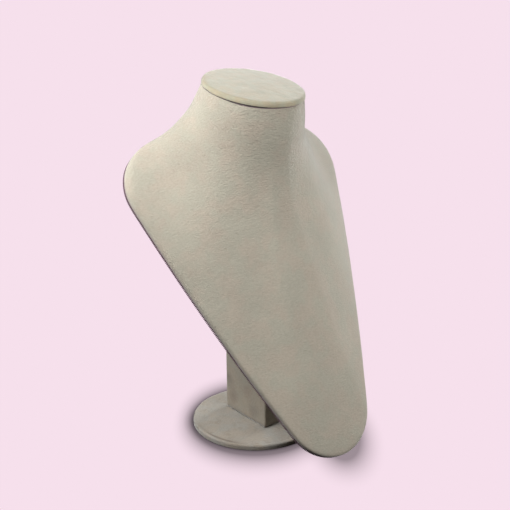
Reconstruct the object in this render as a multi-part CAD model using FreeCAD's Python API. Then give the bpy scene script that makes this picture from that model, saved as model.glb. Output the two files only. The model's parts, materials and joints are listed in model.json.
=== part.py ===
import FreeCAD
import Part
import math
import os
from FreeCAD import Vector

# Necklace display bust covered in microfibre suede: a hollow moulded bust that
# leans forward on an upright board, which stands on a round base.
#
# Units are millimetres and degrees. +Z is up, the bust faces -Y and the origin
# is the centre of the base, on the table.
#
# The bust is drawn in its own bench frame, as if it lay on its back:
#   x  across the shoulders
#   y  up the back plane, from the tip to the neck
#   z  out of the back plane, towards the front
# bench_to_table() then leans it into place.

# ---------------------------------------------------------------- driving sizes

# Skins and sheets
SUEDE = 0.9                     # microfibre suede, everywhere
GLUE = 0.3                      # adhesive film under suede that follows a curved or upright face
SHELL_WALL = 2.5                # moulded bust
BACK_BOARD_THICKNESS = 3.0
CAP_BOARD_THICKNESS = 2.5
BASE_BOARD_THICKNESS = 3.2

# Outline of the bust in its back plane: five tangent arcs on each side
TIP_RADIUS = 50.0
SIDE_RADIUS = 1890.0            # long, nearly straight flank
SHOULDER_RADIUS = 44.0
SHOULDER_X = 80.6               # centre of the shoulder arc
SHOULDER_Y = 279.3
TRAPEZIUS_RADIUS = 59.7         # hollow between the shoulder and the neck
NAPE_RADIUS = 53.4              # round lobe behind the neck
NAPE_Y = 290.6

# Rim and neck
RIM_DEPTH = 7.0                 # height of the rim wall over the back plane
RIM_ROUNDING = 6.0              # how far the front bends in before it meets the rim
RIM_TUCK = 1.5                  # how far the rim's rear edge turns in
NECK_FOOT_Y = 273.0             # where the neck axis leaves the back plane
NECK_PITCH = 47.5               # neck axis over the back plane
NECK_LENGTH = 97.7              # along the axis, back plane to neck cap
NECK_RADIUS = 47.5
NAPE_BLEND = 0.55               # share of the half turn where the rim wall starts to lean with the neck

# Sections of the front surface from the neck's top down to the rim: towards the
# tip, the shoulder and the nape. Each pair is the reach from the neck's wall to
# the rim and the height up the neck, as shares.
TIP_SECTION = ((0.04, 0.86), (0.03, 0.66), (0.10, 0.46), (0.38, 0.27), (0.74, 0.083))
SHOULDER_SECTION = ((0.09, 0.89), (0.11, 0.69), (0.29, 0.49), (0.54, 0.25), (0.93, 0.086))
NAPE_SECTION = ((0.12, 0.86), (0.32, 0.67), (0.52, 0.48), (0.71, 0.25), (0.86, 0.04))
CHEST_FULLNESS = (0.0, 0.0, 0.04, 0.10, 0.06)   # extra height between the tip and the shoulder

# How the bust stands
LEAN = 33.2                     # back plane from the vertical
TIP_SETBACK = -123.4            # tip of the back plane, measured along Y
TIP_HEIGHT = 12.9               # tip over the table

# Covers
HEM = 10.0                      # width of suede turned in over a board's rear face
REVEAL = 0.6                    # dark gap between the neck's suede and the cap
BACK_COVER_MARGIN = 0.6         # back cover stops this short of the rim's rear edge
COVER_CORNER = 1.6              # suede rounding over a square edge
BASE_HEM = 9.0

# Post and base
POST_THICKNESS = 20.0           # across, X
POST_DEPTH = 60.5               # front to back, Y
POST_CENTRE_Y = 3.3
POST_EDGE_ROUNDING = 0.8
BASE_RADIUS = 64.0

# Neck cap
CAP_OVERHANG = 1.0              # cap beyond the neck's suede
CAP_EDGE_ROUNDING = 1.6

# Timber block that the post is screwed to, inside the chest
BLOCK_WIDTH = 44.0
BLOCK_LENGTH = 112.0
BLOCK_THICKNESS = 18.0
BLOCK_LEAD = 8.0                # block starts this far before the post's seat

# Screws: head diameter, shank diameter, length over all
BACK_SCREW = (5.6, 2.9, 8.0)
BLOCK_SCREW = (6.0, 3.0, 14.0)
POST_SCREW = (9.0, 4.5, 43.0)
BASE_SCREW = (7.6, 4.0, 32.0)
COUNTERSINK = 90.0              # full cone angle of every head
RECESS_SHARE = 0.55             # cross recess across the head, share of its diameter
SCREW_PLAY = 0.15               # radial room round every screw

BOSS_DIAMETER = 9.0
BOSS_INSET = 20.0               # boss axis in from the outline
TIP_BOSS_INSET = 46.0
SIDE_BOSS_PLACES = (0.30, 0.78) # along each flank
SHOULDER_BOSS_PLACE = 0.55      # round each shoulder
POST_SCREW_LEAD = 18.0          # first screw behind the post's front edge, up the slope
POST_SCREW_PITCH = 24.0
POST_SCREW_COUNT = 3
BLOCK_SCREW_MARGIN = 12.0       # from the block's ends
BLOCK_SCREW_SIDE = 6.0          # from the block's sides
BASE_SCREW_PITCH = 22.0
BASE_SCREW_COUNT = 2

# ---------------------------------------------------------------- worked out sizes

SKIN = SUEDE + GLUE
FAR = 2000.0                    # reaches past the whole object
EXTENSION = 8.0                 # how far an inner form runs past its open ends
CREST_SHARE = 0.6               # rim rounding keeps to this share of a short slope, as at the nape

# Layers over the back plane, rear to front
HEM_REAR = SUEDE                            # back cover lies under it
BOARD_REAR = HEM_REAR + SUEDE
BOARD_FRONT = BOARD_REAR + BACK_BOARD_THICKNESS
BLOCK_FRONT = BOARD_FRONT + BLOCK_THICKNESS

BASE_TOP = SUEDE + BASE_BOARD_THICKNESS + SUEDE
CAP_HEIGHT = SUEDE + CAP_BOARD_THICKNESS + SUEDE
CAP_RADIUS = NECK_RADIUS + CAP_OVERHANG

# Control points along each arc of the outline
ARC_SPLIT_COUNTS = {"tip": 8, "side": 12, "shoulder": 10, "trapezius": 6, "nape": 8}


# ---------------------------------------------------------------- frames and helpers

def bench_to_table():
    """Placement that leans the bench frame of the bust into the standing frame."""
    turn = FreeCAD.Rotation(Vector(1, 0, 0), 90.0 - LEAN)
    return FreeCAD.Placement(Vector(0, TIP_SETBACK, TIP_HEIGHT), turn)


def neck_axis():
    pitch = math.radians(NECK_PITCH)
    return Vector(0, math.cos(pitch), math.sin(pitch))


def neck_forward():
    """Direction in the cap's plane that points towards the tip."""
    pitch = math.radians(NECK_PITCH)
    return Vector(0, -math.sin(pitch), math.cos(pitch))


def neck_point(drop):
    """Point on the neck axis, drop below the underside of the cap."""
    return Vector(0, NECK_FOOT_Y, 0) + neck_axis() * (NECK_LENGTH - drop)


def circle_meet(centre_a, radius_a, centre_b, radius_b, side):
    """Where two circles meet, on the given side of the line between them."""
    line = centre_b - centre_a
    span = line.Length
    along = (span ** 2 + radius_a ** 2 - radius_b ** 2) / (2 * span)
    across = math.sqrt(max(radius_a ** 2 - along ** 2, 0.0))
    unit = line / span
    normal = Vector(-unit.y, unit.x, 0)
    return centre_a + unit * along + normal * (side * across)


def bearing(centre, point):
    return math.atan2(point.y - centre.y, point.x - centre.x)


def outline_arcs():
    """Right half of the outline as arcs: name, centre, radius, hollow, start angle, sweep."""
    tip = Vector(0, TIP_RADIUS, 0)
    shoulder = Vector(SHOULDER_X, SHOULDER_Y, 0)
    nape = Vector(0, NAPE_Y, 0)
    side = circle_meet(tip, SIDE_RADIUS - TIP_RADIUS, shoulder, SIDE_RADIUS - SHOULDER_RADIUS, 1)
    from_shoulder = SHOULDER_RADIUS + TRAPEZIUS_RADIUS
    from_nape = NAPE_RADIUS + TRAPEZIUS_RADIUS
    hollow = circle_meet(shoulder, from_shoulder, nape, from_nape, -1)
    tip_end = bearing(side, tip)
    side_end = bearing(side, shoulder)
    shoulder_end = bearing(shoulder, hollow)
    hollow_start = bearing(hollow, shoulder)
    hollow_end = bearing(hollow, nape)
    nape_start = bearing(nape, hollow)
    down = -math.pi / 2
    up = math.pi / 2
    return [
        ("tip", tip, TIP_RADIUS, False, down, tip_end - down),
        ("side", side, SIDE_RADIUS, False, tip_end, side_end - tip_end),
        ("shoulder", shoulder, SHOULDER_RADIUS, False, side_end, shoulder_end - side_end),
        ("trapezius", hollow, TRAPEZIUS_RADIUS, True, hollow_start, hollow_end - hollow_start),
        ("nape", nape, NAPE_RADIUS, False, nape_start, up - nape_start),
    ]


def arc_point(arc, share, inset, outset=1.0):
    """Point at a share of an arc's sweep, moved in from the outline by inset."""
    name, centre, radius, hollow, start, sweep = arc
    reach = radius + inset if hollow else radius - inset
    angle = start + sweep * share
    return centre + Vector(math.cos(angle), math.sin(angle), 0) * (reach * outset)


def outline_controls(inset=0.0):
    """Control points of the whole outline, from the tip up the right and down the left."""
    right = []
    for arc in outline_arcs():
        steps = ARC_SPLIT_COUNTS[arc[0]]
        # control points stand off their arc by this much, so that the spline runs on it
        outset = 3 / (2 + math.cos(arc[5] / steps))
        for step in range(steps):
            right.append(arc_point(arc, step / steps, inset, outset))
    nape = arc_point(arc, 1.0, inset, outset)
    left = [Vector(-point.x, point.y, 0) for point in reversed(right[1:])]
    return right + [nape] + left


def outline_prism(inset, rear, front):
    """Closed prism over the whole outline, with true arcs."""
    right = []
    left = []
    for arc in outline_arcs():
        start, middle, end = (arc_point(arc, share, inset) for share in (0.0, 0.5, 1.0))
        right.append(Part.Arc(start, middle, end).toShape())
        mirrored = [Vector(-point.x, point.y, 0) for point in (end, middle, start)]
        left.insert(0, Part.Arc(*mirrored).toShape())
    face = Part.Face(Part.Wire(right + left))
    face.translate(Vector(0, 0, rear))
    return face.extrude(Vector(0, 0, front - rear))


def layer(rear, front):
    """Everything between two planes parallel to the back plane."""
    return Part.makeBox(2 * FAR, 2 * FAR, front - rear, Vector(-FAR, -FAR, rear))


def above_neck(drop):
    """Everything above a plane, drop below the underside of the cap."""
    return Part.makeCylinder(FAR, FAR, neck_point(drop), neck_axis())


def smooth(share):
    share = min(max(share, 0.0), 1.0)
    return share * share * (3 - 2 * share)


# ---------------------------------------------------------------- the bust's form

def control_rings():
    """Control rings of the bust's skin, from the neck's top to the back plane."""
    axis = neck_axis()
    across = Vector(1, 0, 0)
    upright = Vector(0, 0, 1)
    top = neck_point(0)
    rings = [[] for _ in range(10)]
    sections = list(zip(TIP_SECTION, SHOULDER_SECTION, NAPE_SECTION, CHEST_FULLNESS))
    for edge, tucked in zip(outline_controls(), outline_controls(RIM_TUCK)):
        # turn goes from 0 at the tip to pi at the nape, on either side
        turn = math.atan2(abs(edge.x), NECK_FOOT_Y - edge.y)
        side = math.copysign(1, edge.x)
        lean = smooth((turn / math.pi - NAPE_BLEND) / (1 - NAPE_BLEND))
        wall = upright * (1 - lean) + axis * (lean / axis.z)
        crest = edge + wall * RIM_DEPTH
        lip = top + (across * side * math.sin(turn) + neck_forward() * math.cos(turn)) * NECK_RADIUS
        drop = (lip.z - RIM_DEPTH) / axis.z
        foot = lip - axis * drop
        to_tip = max(math.cos(turn), 0.0) ** 2
        to_side = math.sin(turn) ** 2
        to_nape = max(-math.cos(turn), 0.0) ** 2
        between = math.sin(2 * turn) ** 2 if turn < math.pi / 2 else 0.0
        column = [lip]
        for tip, shoulder, nape, fullness in sections:
            reach = tip[0] * to_tip + shoulder[0] * to_side + nape[0] * to_nape
            height = tip[1] * to_tip + shoulder[1] * to_side + nape[1] * to_nape + fullness * between
            column.append(foot + (crest - foot) * reach + axis * (drop * height))
        inward = column[-1] - crest
        column.append(crest + inward * min(RIM_ROUNDING / inward.Length, CREST_SHARE))
        column += [crest, (crest + edge) * 0.5, tucked]
        for ring, point in zip(rings, column):
            ring.append(point)
    return rings


def sunk_rings(rings, depth):
    """Control rings moved in by depth, square to the skin; the end rings slide back into their planes."""
    count = len(rings[0])
    sunk = [[] for _ in rings]
    for place in range(count):
        column = [ring[place] for ring in rings]
        steps = [after - before for before, after in zip(column, column[1:])]
        steps = steps[:1] + steps + steps[-1:]
        for level, ring in enumerate(rings):
            along = ring[(place + 1) % count] - ring[place - 1]
            above = along.cross(steps[level]).normalize()
            below = along.cross(steps[level + 1]).normalize()
            inward = (above + below).normalize()
            sunk[level].append(column[level] + inward * (depth / inward.dot(below)))
        cap_gap = (column[0] - sunk[0][-1]).dot(neck_axis())
        sunk[0][-1] += steps[0] * (cap_gap / steps[0].dot(neck_axis()))
        sunk[-1][-1] -= steps[-1] * (sunk[-1][-1].z / steps[-1].z)
    return sunk


def skin_surface(inset):
    """The bust's skin as one spline surface that closes on itself round the neck."""
    rings = control_rings()
    if inset:
        rings = sunk_rings(rings, inset)
    spans = len(rings) - 3
    around = len(rings[0])
    surface = Part.BSplineSurface()
    surface.buildFromPolesMultsKnots(
        rings, [4] + [1] * (spans - 1) + [4], [1] * (around + 1),
        [float(knot) for knot in range(spans + 1)], [float(knot) for knot in range(around + 1)],
        False, True, 3, 3)
    return surface


def bust_form(inset, open_ended=False):
    """Closed solid of the bust's form. An open-ended one runs on past the neck and the back plane."""
    surface = skin_surface(inset)
    first, last = surface.bounds()[:2]
    faces = [surface.toShape()]
    neck_ring = surface.uIso(first).toShape()
    back_ring = surface.uIso(last).toShape()
    if open_ended:
        up_neck = neck_axis() * EXTENSION
        rearward = Vector(0, 0, -EXTENSION)
        faces.append(neck_ring.extrude(up_neck))
        faces.append(back_ring.extrude(rearward))
        neck_ring.translate(up_neck)
        back_ring.translate(rearward)
    for ring in (neck_ring, back_ring):
        faces.append(Part.Face(Part.Wire([ring])))
    shell = Part.makeShell(faces)
    shell.sewShape()
    solid = Part.makeSolid(shell)
    if solid.Volume < 0:
        solid.reverse()
    return solid


# ---------------------------------------------------------------- screws

def screw(size, play=0.0):
    """Countersunk screw, head flush at the origin, pointing along -Z. With play it is the hole's shape."""
    head, shank, length = size
    head_radius = head / 2 + play
    shank_radius = shank / 2 + play
    cone = (head_radius - shank_radius) / math.tan(math.radians(COUNTERSINK / 2))
    point = shank_radius
    profile = [
        Vector(0, 0, 0),
        Vector(head_radius, 0, 0),
        Vector(shank_radius, 0, -cone),
        Vector(shank_radius, 0, -(length + play - point)),
        Vector(0, 0, -(length + play)),
    ]
    face = Part.Face(Part.makePolygon(profile + profile[:1]))
    body = face.revolve(Vector(0, 0, 0), Vector(0, 0, 1), 360)
    if play:
        return body
    width = head * RECESS_SHARE
    blade = width / 4
    depth = cone * 0.8
    for across, along in ((width, blade), (blade, width)):
        body = body.cut(Part.makeBox(across, along, depth, Vector(-across / 2, -along / 2, -depth)))
    return body


def placed(shape, point, direction=Vector(0, 0, -1)):
    """Copy of a screw or hole moved to a point and turned to point along a direction."""
    turn = FreeCAD.Rotation(Vector(0, 0, -1), direction)
    copy = shape.copy()
    copy.Placement = FreeCAD.Placement(point, turn)
    return copy


def drilled(shape, size, places):
    """Shape with a hole for each screw of the given size."""
    for point, direction in places:
        shape = shape.cut(placed(screw(size, SCREW_PLAY), point, direction))
    return shape


def screws(size, places):
    return Part.makeCompound([placed(screw(size), point, direction) for point, direction in places])


# ---------------------------------------------------------------- shared places

REARWARD = Vector(0, 0, -1)
FORWARD = Vector(0, 0, 1)


def post_blank(grow, bottom):
    """Upright box round the post board, grown on its four sides, in the standing frame."""
    across = POST_THICKNESS + 2 * grow
    along = POST_DEPTH + 2 * grow
    corner = Vector(-across / 2, POST_CENTRE_Y - along / 2, bottom)
    return Part.makeBox(across, along, FAR, corner)


def post_seat_start():
    """Where the post's front face meets the back board, up the back plane."""
    front = POST_CENTRE_Y - POST_DEPTH / 2
    lean = math.radians(LEAN)
    return (front - TIP_SETBACK + BOARD_REAR * math.cos(lean)) / math.sin(lean)


def back_screw_places():
    arcs = {arc[0]: arc for arc in outline_arcs()}
    points = [arc_point(arcs["tip"], 0.0, TIP_BOSS_INSET)]
    right = [arc_point(arcs["side"], share, BOSS_INSET) for share in SIDE_BOSS_PLACES]
    right.append(arc_point(arcs["shoulder"], SHOULDER_BOSS_PLACE, BOSS_INSET))
    for point in right:
        points.append(point)
        points.append(Vector(-point.x, point.y, 0))
    return [(point + Vector(0, 0, BOARD_REAR), FORWARD) for point in points]


def block_screw_places():
    start = post_seat_start() - BLOCK_LEAD
    rows = (start + BLOCK_SCREW_MARGIN, start + BLOCK_LENGTH - BLOCK_SCREW_MARGIN)
    side = BLOCK_WIDTH / 2 - BLOCK_SCREW_SIDE
    return [(Vector(x, y, BOARD_REAR), FORWARD) for y in rows for x in (-side, side)]


def post_screw_places():
    first = post_seat_start() + POST_SCREW_LEAD
    rows = [first + POST_SCREW_PITCH * index for index in range(POST_SCREW_COUNT)]
    return [(Vector(0, y, BLOCK_FRONT), REARWARD) for y in rows]


def base_screw_places():
    first = POST_CENTRE_Y - BASE_SCREW_PITCH * (BASE_SCREW_COUNT - 1) / 2
    rows = [first + BASE_SCREW_PITCH * index for index in range(BASE_SCREW_COUNT)]
    return [(Vector(0, y, SUEDE), FORWARD) for y in rows]


# ---------------------------------------------------------------- pieces of the bust, in the bench frame

def front_cover():
    """Suede over the front, the rim and the neck, with a hem turned in behind the back board."""
    outside = bust_form(0).common(layer(HEM_REAR, FAR)).cut(above_neck(REVEAL))
    inside = bust_form(SUEDE, open_ended=True).common(layer(BOARD_REAR, FAR))
    return outside.cut(inside).cut(outline_prism(HEM, 0, BOARD_REAR))


def bust_shell():
    """Moulded bust, open at the back and closed under the cap, with bosses for the back board's screws."""
    outside = bust_form(SKIN).common(layer(BOARD_FRONT, FAR))
    hollow = bust_form(SKIN + SHELL_WALL, open_ended=True).cut(above_neck(SHELL_WALL))
    shell = outside.cut(hollow)
    middle_of_wall = bust_form(SKIN + SHELL_WALL / 2)
    for point, direction in back_screw_places():
        foot = Vector(point.x, point.y, BOARD_FRONT)
        boss = Part.makeCylinder(BOSS_DIAMETER / 2, FAR, foot)
        shell = shell.fuse(boss.common(middle_of_wall))
    return drilled(shell, BACK_SCREW, back_screw_places())


def back_board():
    board = bust_form(SKIN).common(layer(BOARD_REAR, BOARD_FRONT))
    board = drilled(board, BACK_SCREW, back_screw_places())
    board = drilled(board, BLOCK_SCREW, block_screw_places())
    return drilled(board, POST_SCREW, post_screw_places())


def back_cover():
    """Suede panel over the back, sewn to the front cover round the rim, with a slot for the post."""
    panel = outline_prism(RIM_TUCK + BACK_COVER_MARGIN, 0, HEM_REAR)
    slot = post_blank(GLUE, BASE_TOP)
    slot.Placement = bench_to_table().inverse().multiply(slot.Placement)
    return panel.cut(slot)


def mounting_block():
    corner = Vector(-BLOCK_WIDTH / 2, post_seat_start() - BLOCK_LEAD, BOARD_FRONT)
    block = Part.makeBox(BLOCK_WIDTH, BLOCK_LENGTH, BLOCK_THICKNESS, corner)
    block = drilled(block, BLOCK_SCREW, block_screw_places())
    return drilled(block, POST_SCREW, post_screw_places())


def neck_cap_board():
    return Part.makeCylinder(CAP_RADIUS - SKIN, CAP_BOARD_THICKNESS, neck_point(-SUEDE), neck_axis())


def neck_cap_cover():
    """Suede over the top and edge of the cap board, turned in under it."""
    outside = Part.makeCylinder(CAP_RADIUS, CAP_HEIGHT)
    outside = outside.makeFillet(CAP_EDGE_ROUNDING, [edge_at_height(outside, CAP_HEIGHT)])
    outside = outside.makeFillet(SUEDE / 2, [edge_at_height(outside, 0)])
    board_room = Part.makeCylinder(CAP_RADIUS - SUEDE, CAP_BOARD_THICKNESS, Vector(0, 0, SUEDE))
    opening = Part.makeCylinder(CAP_RADIUS - HEM, SUEDE)
    cover = outside.cut(board_room).cut(opening)
    cover.Placement = FreeCAD.Placement(neck_point(0), FreeCAD.Rotation(Vector(0, 0, 1), neck_axis()))
    return cover


def edge_at_height(shape, height):
    """The full circle edge of a round shape that lies at a height."""
    circles = [edge for edge in shape.Edges if edge.isClosed()]
    return min(circles, key=lambda edge: abs(edge.CenterOfMass.z - height))


# ---------------------------------------------------------------- post and base, in the standing frame

def behind(depth):
    """Everything behind a plane parallel to the back plane, in the standing frame."""
    space = layer(-FAR, depth)
    space.Placement = bench_to_table().multiply(space.Placement)
    return space


def rounded_post(grow, bottom, rounding):
    """Post-shaped column with rounded upright edges."""
    column = post_blank(grow, bottom)
    upright = [edge for edge in column.Edges if abs(edge.tangentAt(edge.FirstParameter).z) > 0.9]
    return column.makeFillet(rounding, upright)


def post_board():
    board = rounded_post(0, BASE_TOP, POST_EDGE_ROUNDING).common(behind(BOARD_REAR))
    board = drilled(board, BASE_SCREW, base_screw_places())
    for point, direction in post_screw_places():
        hole = placed(screw(POST_SCREW, SCREW_PLAY), point, direction)
        hole.Placement = bench_to_table().multiply(hole.Placement)
        board = board.cut(hole)
    return board


def post_cover():
    """Suede sleeve round the post, open at both ends."""
    sleeve = rounded_post(SKIN, BASE_TOP, COVER_CORNER).cut(rounded_post(GLUE, BASE_TOP, POST_EDGE_ROUNDING))
    return sleeve.common(behind(-GLUE))


def base_board():
    board = Part.makeCylinder(BASE_RADIUS - SKIN, BASE_BOARD_THICKNESS, Vector(0, 0, SUEDE))
    return drilled(board, BASE_SCREW, base_screw_places())


def base_cover():
    """Suede over the base board, turned in under it, pierced by the post's screws."""
    outside = Part.makeCylinder(BASE_RADIUS, BASE_TOP)
    outside = outside.makeFillet(COVER_CORNER, [edge_at_height(outside, BASE_TOP)])
    board_room = Part.makeCylinder(BASE_RADIUS - SUEDE, BASE_BOARD_THICKNESS, Vector(0, 0, SUEDE))
    opening = Part.makeCylinder(BASE_RADIUS - BASE_HEM, SUEDE)
    cover = outside.cut(board_room).cut(opening)
    return drilled(cover, BASE_SCREW, base_screw_places())


def base_felt():
    return Part.makeCylinder(BASE_RADIUS - BASE_HEM - GLUE, SUEDE)


# ---------------------------------------------------------------- export

BUST_PIECES = {
    "front_cover": front_cover,
    "bust_shell": bust_shell,
    "back_board": back_board,
    "back_board_screws": lambda: screws(BACK_SCREW, back_screw_places()),
    "back_cover": back_cover,
    "mounting_block": mounting_block,
    "mounting_block_screws": lambda: screws(BLOCK_SCREW, block_screw_places()),
    "post_top_screws": lambda: screws(POST_SCREW, post_screw_places()),
    "neck_cap_board": neck_cap_board,
    "neck_cap_cover": neck_cap_cover,
}

STAND_PIECES = {
    "post_board": post_board,
    "post_cover": post_cover,
    "base_board": base_board,
    "base_cover": base_cover,
    "base_felt": base_felt,
    "base_screws": lambda: screws(BASE_SCREW, base_screw_places()),
}


def main():
    os.makedirs("parts", exist_ok=True)
    lean = bench_to_table()
    for name, make in {**BUST_PIECES, **STAND_PIECES}.items():
        shape = make()
        if name in BUST_PIECES:
            shape.Placement = lean.multiply(shape.Placement)
        box = shape.BoundBox
        print(f"{name}: {len(shape.Solids)} solid(s), valid {shape.isValid()}, "
              f"z {box.ZMin:.1f} to {box.ZMax:.1f}")
        shape.exportStep(f"parts/{name}.step")


main()
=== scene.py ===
"""Looks of a suede-covered necklace display bust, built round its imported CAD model.

Sizes are millimetres unless a name says otherwise, and meshes are metres. The bust
is drawn in its bench frame, as its maker would lay it down: x across the shoulders,
y up the back plane from the tip to the neck, z out of that plane to the front.
"""

import json
import logging
import math
from dataclasses import dataclass, field
from enum import Enum, IntEnum
from functools import partial, reduce

import bmesh
import bpy
import numpy as np
from mathutils import Euler, Matrix, Vector


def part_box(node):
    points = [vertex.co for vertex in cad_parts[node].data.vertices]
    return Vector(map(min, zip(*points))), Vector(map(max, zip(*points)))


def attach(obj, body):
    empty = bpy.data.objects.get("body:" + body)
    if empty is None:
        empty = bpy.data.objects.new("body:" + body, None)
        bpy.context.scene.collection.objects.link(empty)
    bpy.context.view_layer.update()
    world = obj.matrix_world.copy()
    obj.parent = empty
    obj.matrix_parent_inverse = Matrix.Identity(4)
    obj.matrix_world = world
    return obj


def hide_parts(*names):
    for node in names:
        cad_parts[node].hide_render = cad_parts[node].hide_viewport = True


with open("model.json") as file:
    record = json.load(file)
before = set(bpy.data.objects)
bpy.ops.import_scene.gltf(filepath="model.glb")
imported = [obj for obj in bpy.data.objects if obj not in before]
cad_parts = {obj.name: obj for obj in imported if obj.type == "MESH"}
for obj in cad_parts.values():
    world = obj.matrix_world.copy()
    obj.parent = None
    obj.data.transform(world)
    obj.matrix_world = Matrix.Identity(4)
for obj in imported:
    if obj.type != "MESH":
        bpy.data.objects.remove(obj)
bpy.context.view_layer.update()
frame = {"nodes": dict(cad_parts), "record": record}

LOG = logging.getLogger("necklace_bust")
MM = 0.001
SUEDE = 0.9  # thickness of the suede
GLUE = 0.3  # thickness of a film of glue
MERGE = 0.002  # points nearer than this are one
WAVES = 14
WAVE_SPREAD = (0.6, 1.7)
ARC_POINTS = 7
ORIGIN = (0.0, 0.0, 0.0)
BODY = "root"
Points = np.ndarray
Triple = tuple[float, float, float]
Material, Mesh, Object = bpy.types.Material, bpy.types.Mesh, bpy.types.Object
Node, Socket, Tree = bpy.types.Node, bpy.types.NodeSocket, bpy.types.NodeTree


class Slot(Enum):
    """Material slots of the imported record."""

    SUEDE = "suede"
    MOULDING = "moulding"
    HARDBOARD = "hardboard"
    TIMBER = "timber"
    STEEL = "screw_steel"
    FELT = "felt"


class Wave(IntEnum):
    """Seeds of the random waves in the meshes, one for each use."""

    DRAPE = 3
    FINE_DRAPE = 4
    PUCKER = 5
    CREASE = 6
    REVEAL = 8
    BACK = 9
    POST = 12
    GLUE = 14
    FOLD = 17
    BLOTCH = 23


@dataclass(frozen=True)
class Cut:
    """The flat size and area, in metres, that a cloth piece was cut to, and what it is stretched over."""

    width: float
    length: float
    area: float
    over: str


# ---------------------------------------------------------------- node trees


def linear(colour: Triple) -> tuple[float, float, float, float]:
    """Turns a colour of 0 to 255 as seen on a screen into the linear one that shaders take."""
    shares = [value / 255 for value in colour]
    return (*[v / 12.92 if v <= 0.04045 else ((v + 0.055) / 1.055) ** 2.4 for v in shares], 1.0)


class Graph:
    """Adds and links the nodes of one tree."""

    def __init__(self, tree: Tree) -> None:
        """Keeps the tree that the nodes go into."""
        self.tree = tree

    def feed(self, node: Node, inputs: dict) -> Node:
        """Sets or links inputs of a node.

        Args:
            node: The node.
            inputs: Socket name or index, with a value or the output that feeds it.

        Returns:
            The node.
        """
        for key, value in inputs.items():
            if isinstance(value, Socket):
                self.tree.links.new(value, node.inputs[key])
            else:
                node.inputs[key].default_value = value
        return node

    def node(self, kind: str, inputs: dict | None = None, **settings: object) -> Node:
        """Adds a node.

        Args:
            kind: The node's Blender type.
            inputs: Socket name or index, with a value or the output that feeds it.
            settings: Properties of the node.

        Returns:
            The new node.
        """
        made = self.tree.nodes.new(kind)
        for name, value in settings.items():
            setattr(made, name, value)
        return self.feed(made, inputs or {})

    def out(self, kind: str, inputs: dict | None = None, **settings: object) -> Socket:
        """Adds a node and returns its first output."""
        return self.node(kind, inputs, **settings).outputs[0]

    def math(self, operation: str, *values: object) -> Socket:
        """Adds a Math node on the given values and returns its result."""
        return self.out("ShaderNodeMath", dict(enumerate(values)), operation=operation)

    def vector(self, operation: str, *values: object) -> Socket:
        """Adds a Vector Math node on the given values and returns its vector."""
        return self.out("ShaderNodeVectorMath", dict(enumerate(values)), operation=operation)

    def length(self, vector: Socket) -> Socket:
        """Returns the length of a vector."""
        return self.node("ShaderNodeVectorMath", {0: vector}, operation="LENGTH").outputs["Value"]

    def scaled(self, vector: object, factor: object) -> Socket:
        """Returns a vector or a colour times a factor."""
        return self.out("ShaderNodeVectorMath", {0: vector, "Scale": factor}, operation="SCALE")

    def total(self, *parts: tuple[Socket, float]) -> Socket:
        """Adds up values, each times its share."""
        return reduce(partial(self.math, "ADD"), [self.math("MULTIPLY", *part) for part in parts])

    def around_one(self, value: Socket, play: float) -> Socket:
        """Turns a value of 0 to 1 into a factor that lies evenly round one, within the play."""
        return self.math("MULTIPLY_ADD", value, play, 1 - play / 2)

    def spread(self, value: object, low: float, high: float) -> Socket:
        """Maps low to high onto 0 to 1 with a smooth step, clamped."""
        inputs = {"Value": value, "From Min": low, "From Max": high}
        return self.node("ShaderNodeMapRange", inputs, interpolation_type="SMOOTHSTEP").outputs["Result"]

    def mix(self, factor: Socket, first: object, second: Triple) -> Socket:
        """Mixes a colour of 0 to 255, or an output that holds a colour, with a second one of 0 to 255."""
        inputs = {0: factor, 6: first if isinstance(first, Socket) else linear(first), 7: linear(second)}
        return self.node("ShaderNodeMix", inputs, data_type="RGBA").outputs[2]

    def noise(self, place: Socket, size: object, seed: object, detail: float = 2.0,
              roughness: float = 0.5) -> Socket:
        """Adds seeded noise.

        Args:
            place: The place that it is read at.
            size: About how large its features are.
            seed: Picks the noise.
            detail: How many finer layers it has.
            roughness: How strong they are.

        Returns:
            Its value, 0 to 1.
        """
        scale = self.math("DIVIDE", 1.0, size)
        inputs = {"Vector": place, "W": seed, "Scale": scale, "Detail": detail, "Roughness": roughness}
        return self.out("ShaderNodeTexNoise", inputs, noise_dimensions="4D")

    def stretched(self, place: Socket, across: object) -> Socket:
        """Divides the x of a place by a number, so that a pattern on it gets longer across.

        Args:
            place: The place.
            across: How many times longer.

        Returns:
            The place to draw the pattern at.
        """
        x, y, z = self.node("ShaderNodeSeparateXYZ", {0: place}).outputs
        return self.out("ShaderNodeCombineXYZ", {0: self.math("DIVIDE", x, across), 1: y, 2: z})

    def bump(self, height: Socket, distance: float, strength: float = 1.0) -> Socket:
        """Turns a height into a normal, with the distance in metres."""
        return self.out("ShaderNodeBump", {"Strength": strength, "Distance": distance, "Height": height})

    def by_eye(self, shown: Socket, otherwise: Socket) -> Socket:
        """Mixes two shaders: one that the camera sees directly, and one for all other light."""
        seen = self.node("ShaderNodeLightPath").outputs["Is Camera Ray"]
        return self.out("ShaderNodeMixShader", {0: seen, 1: otherwise, 2: shown})


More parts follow.
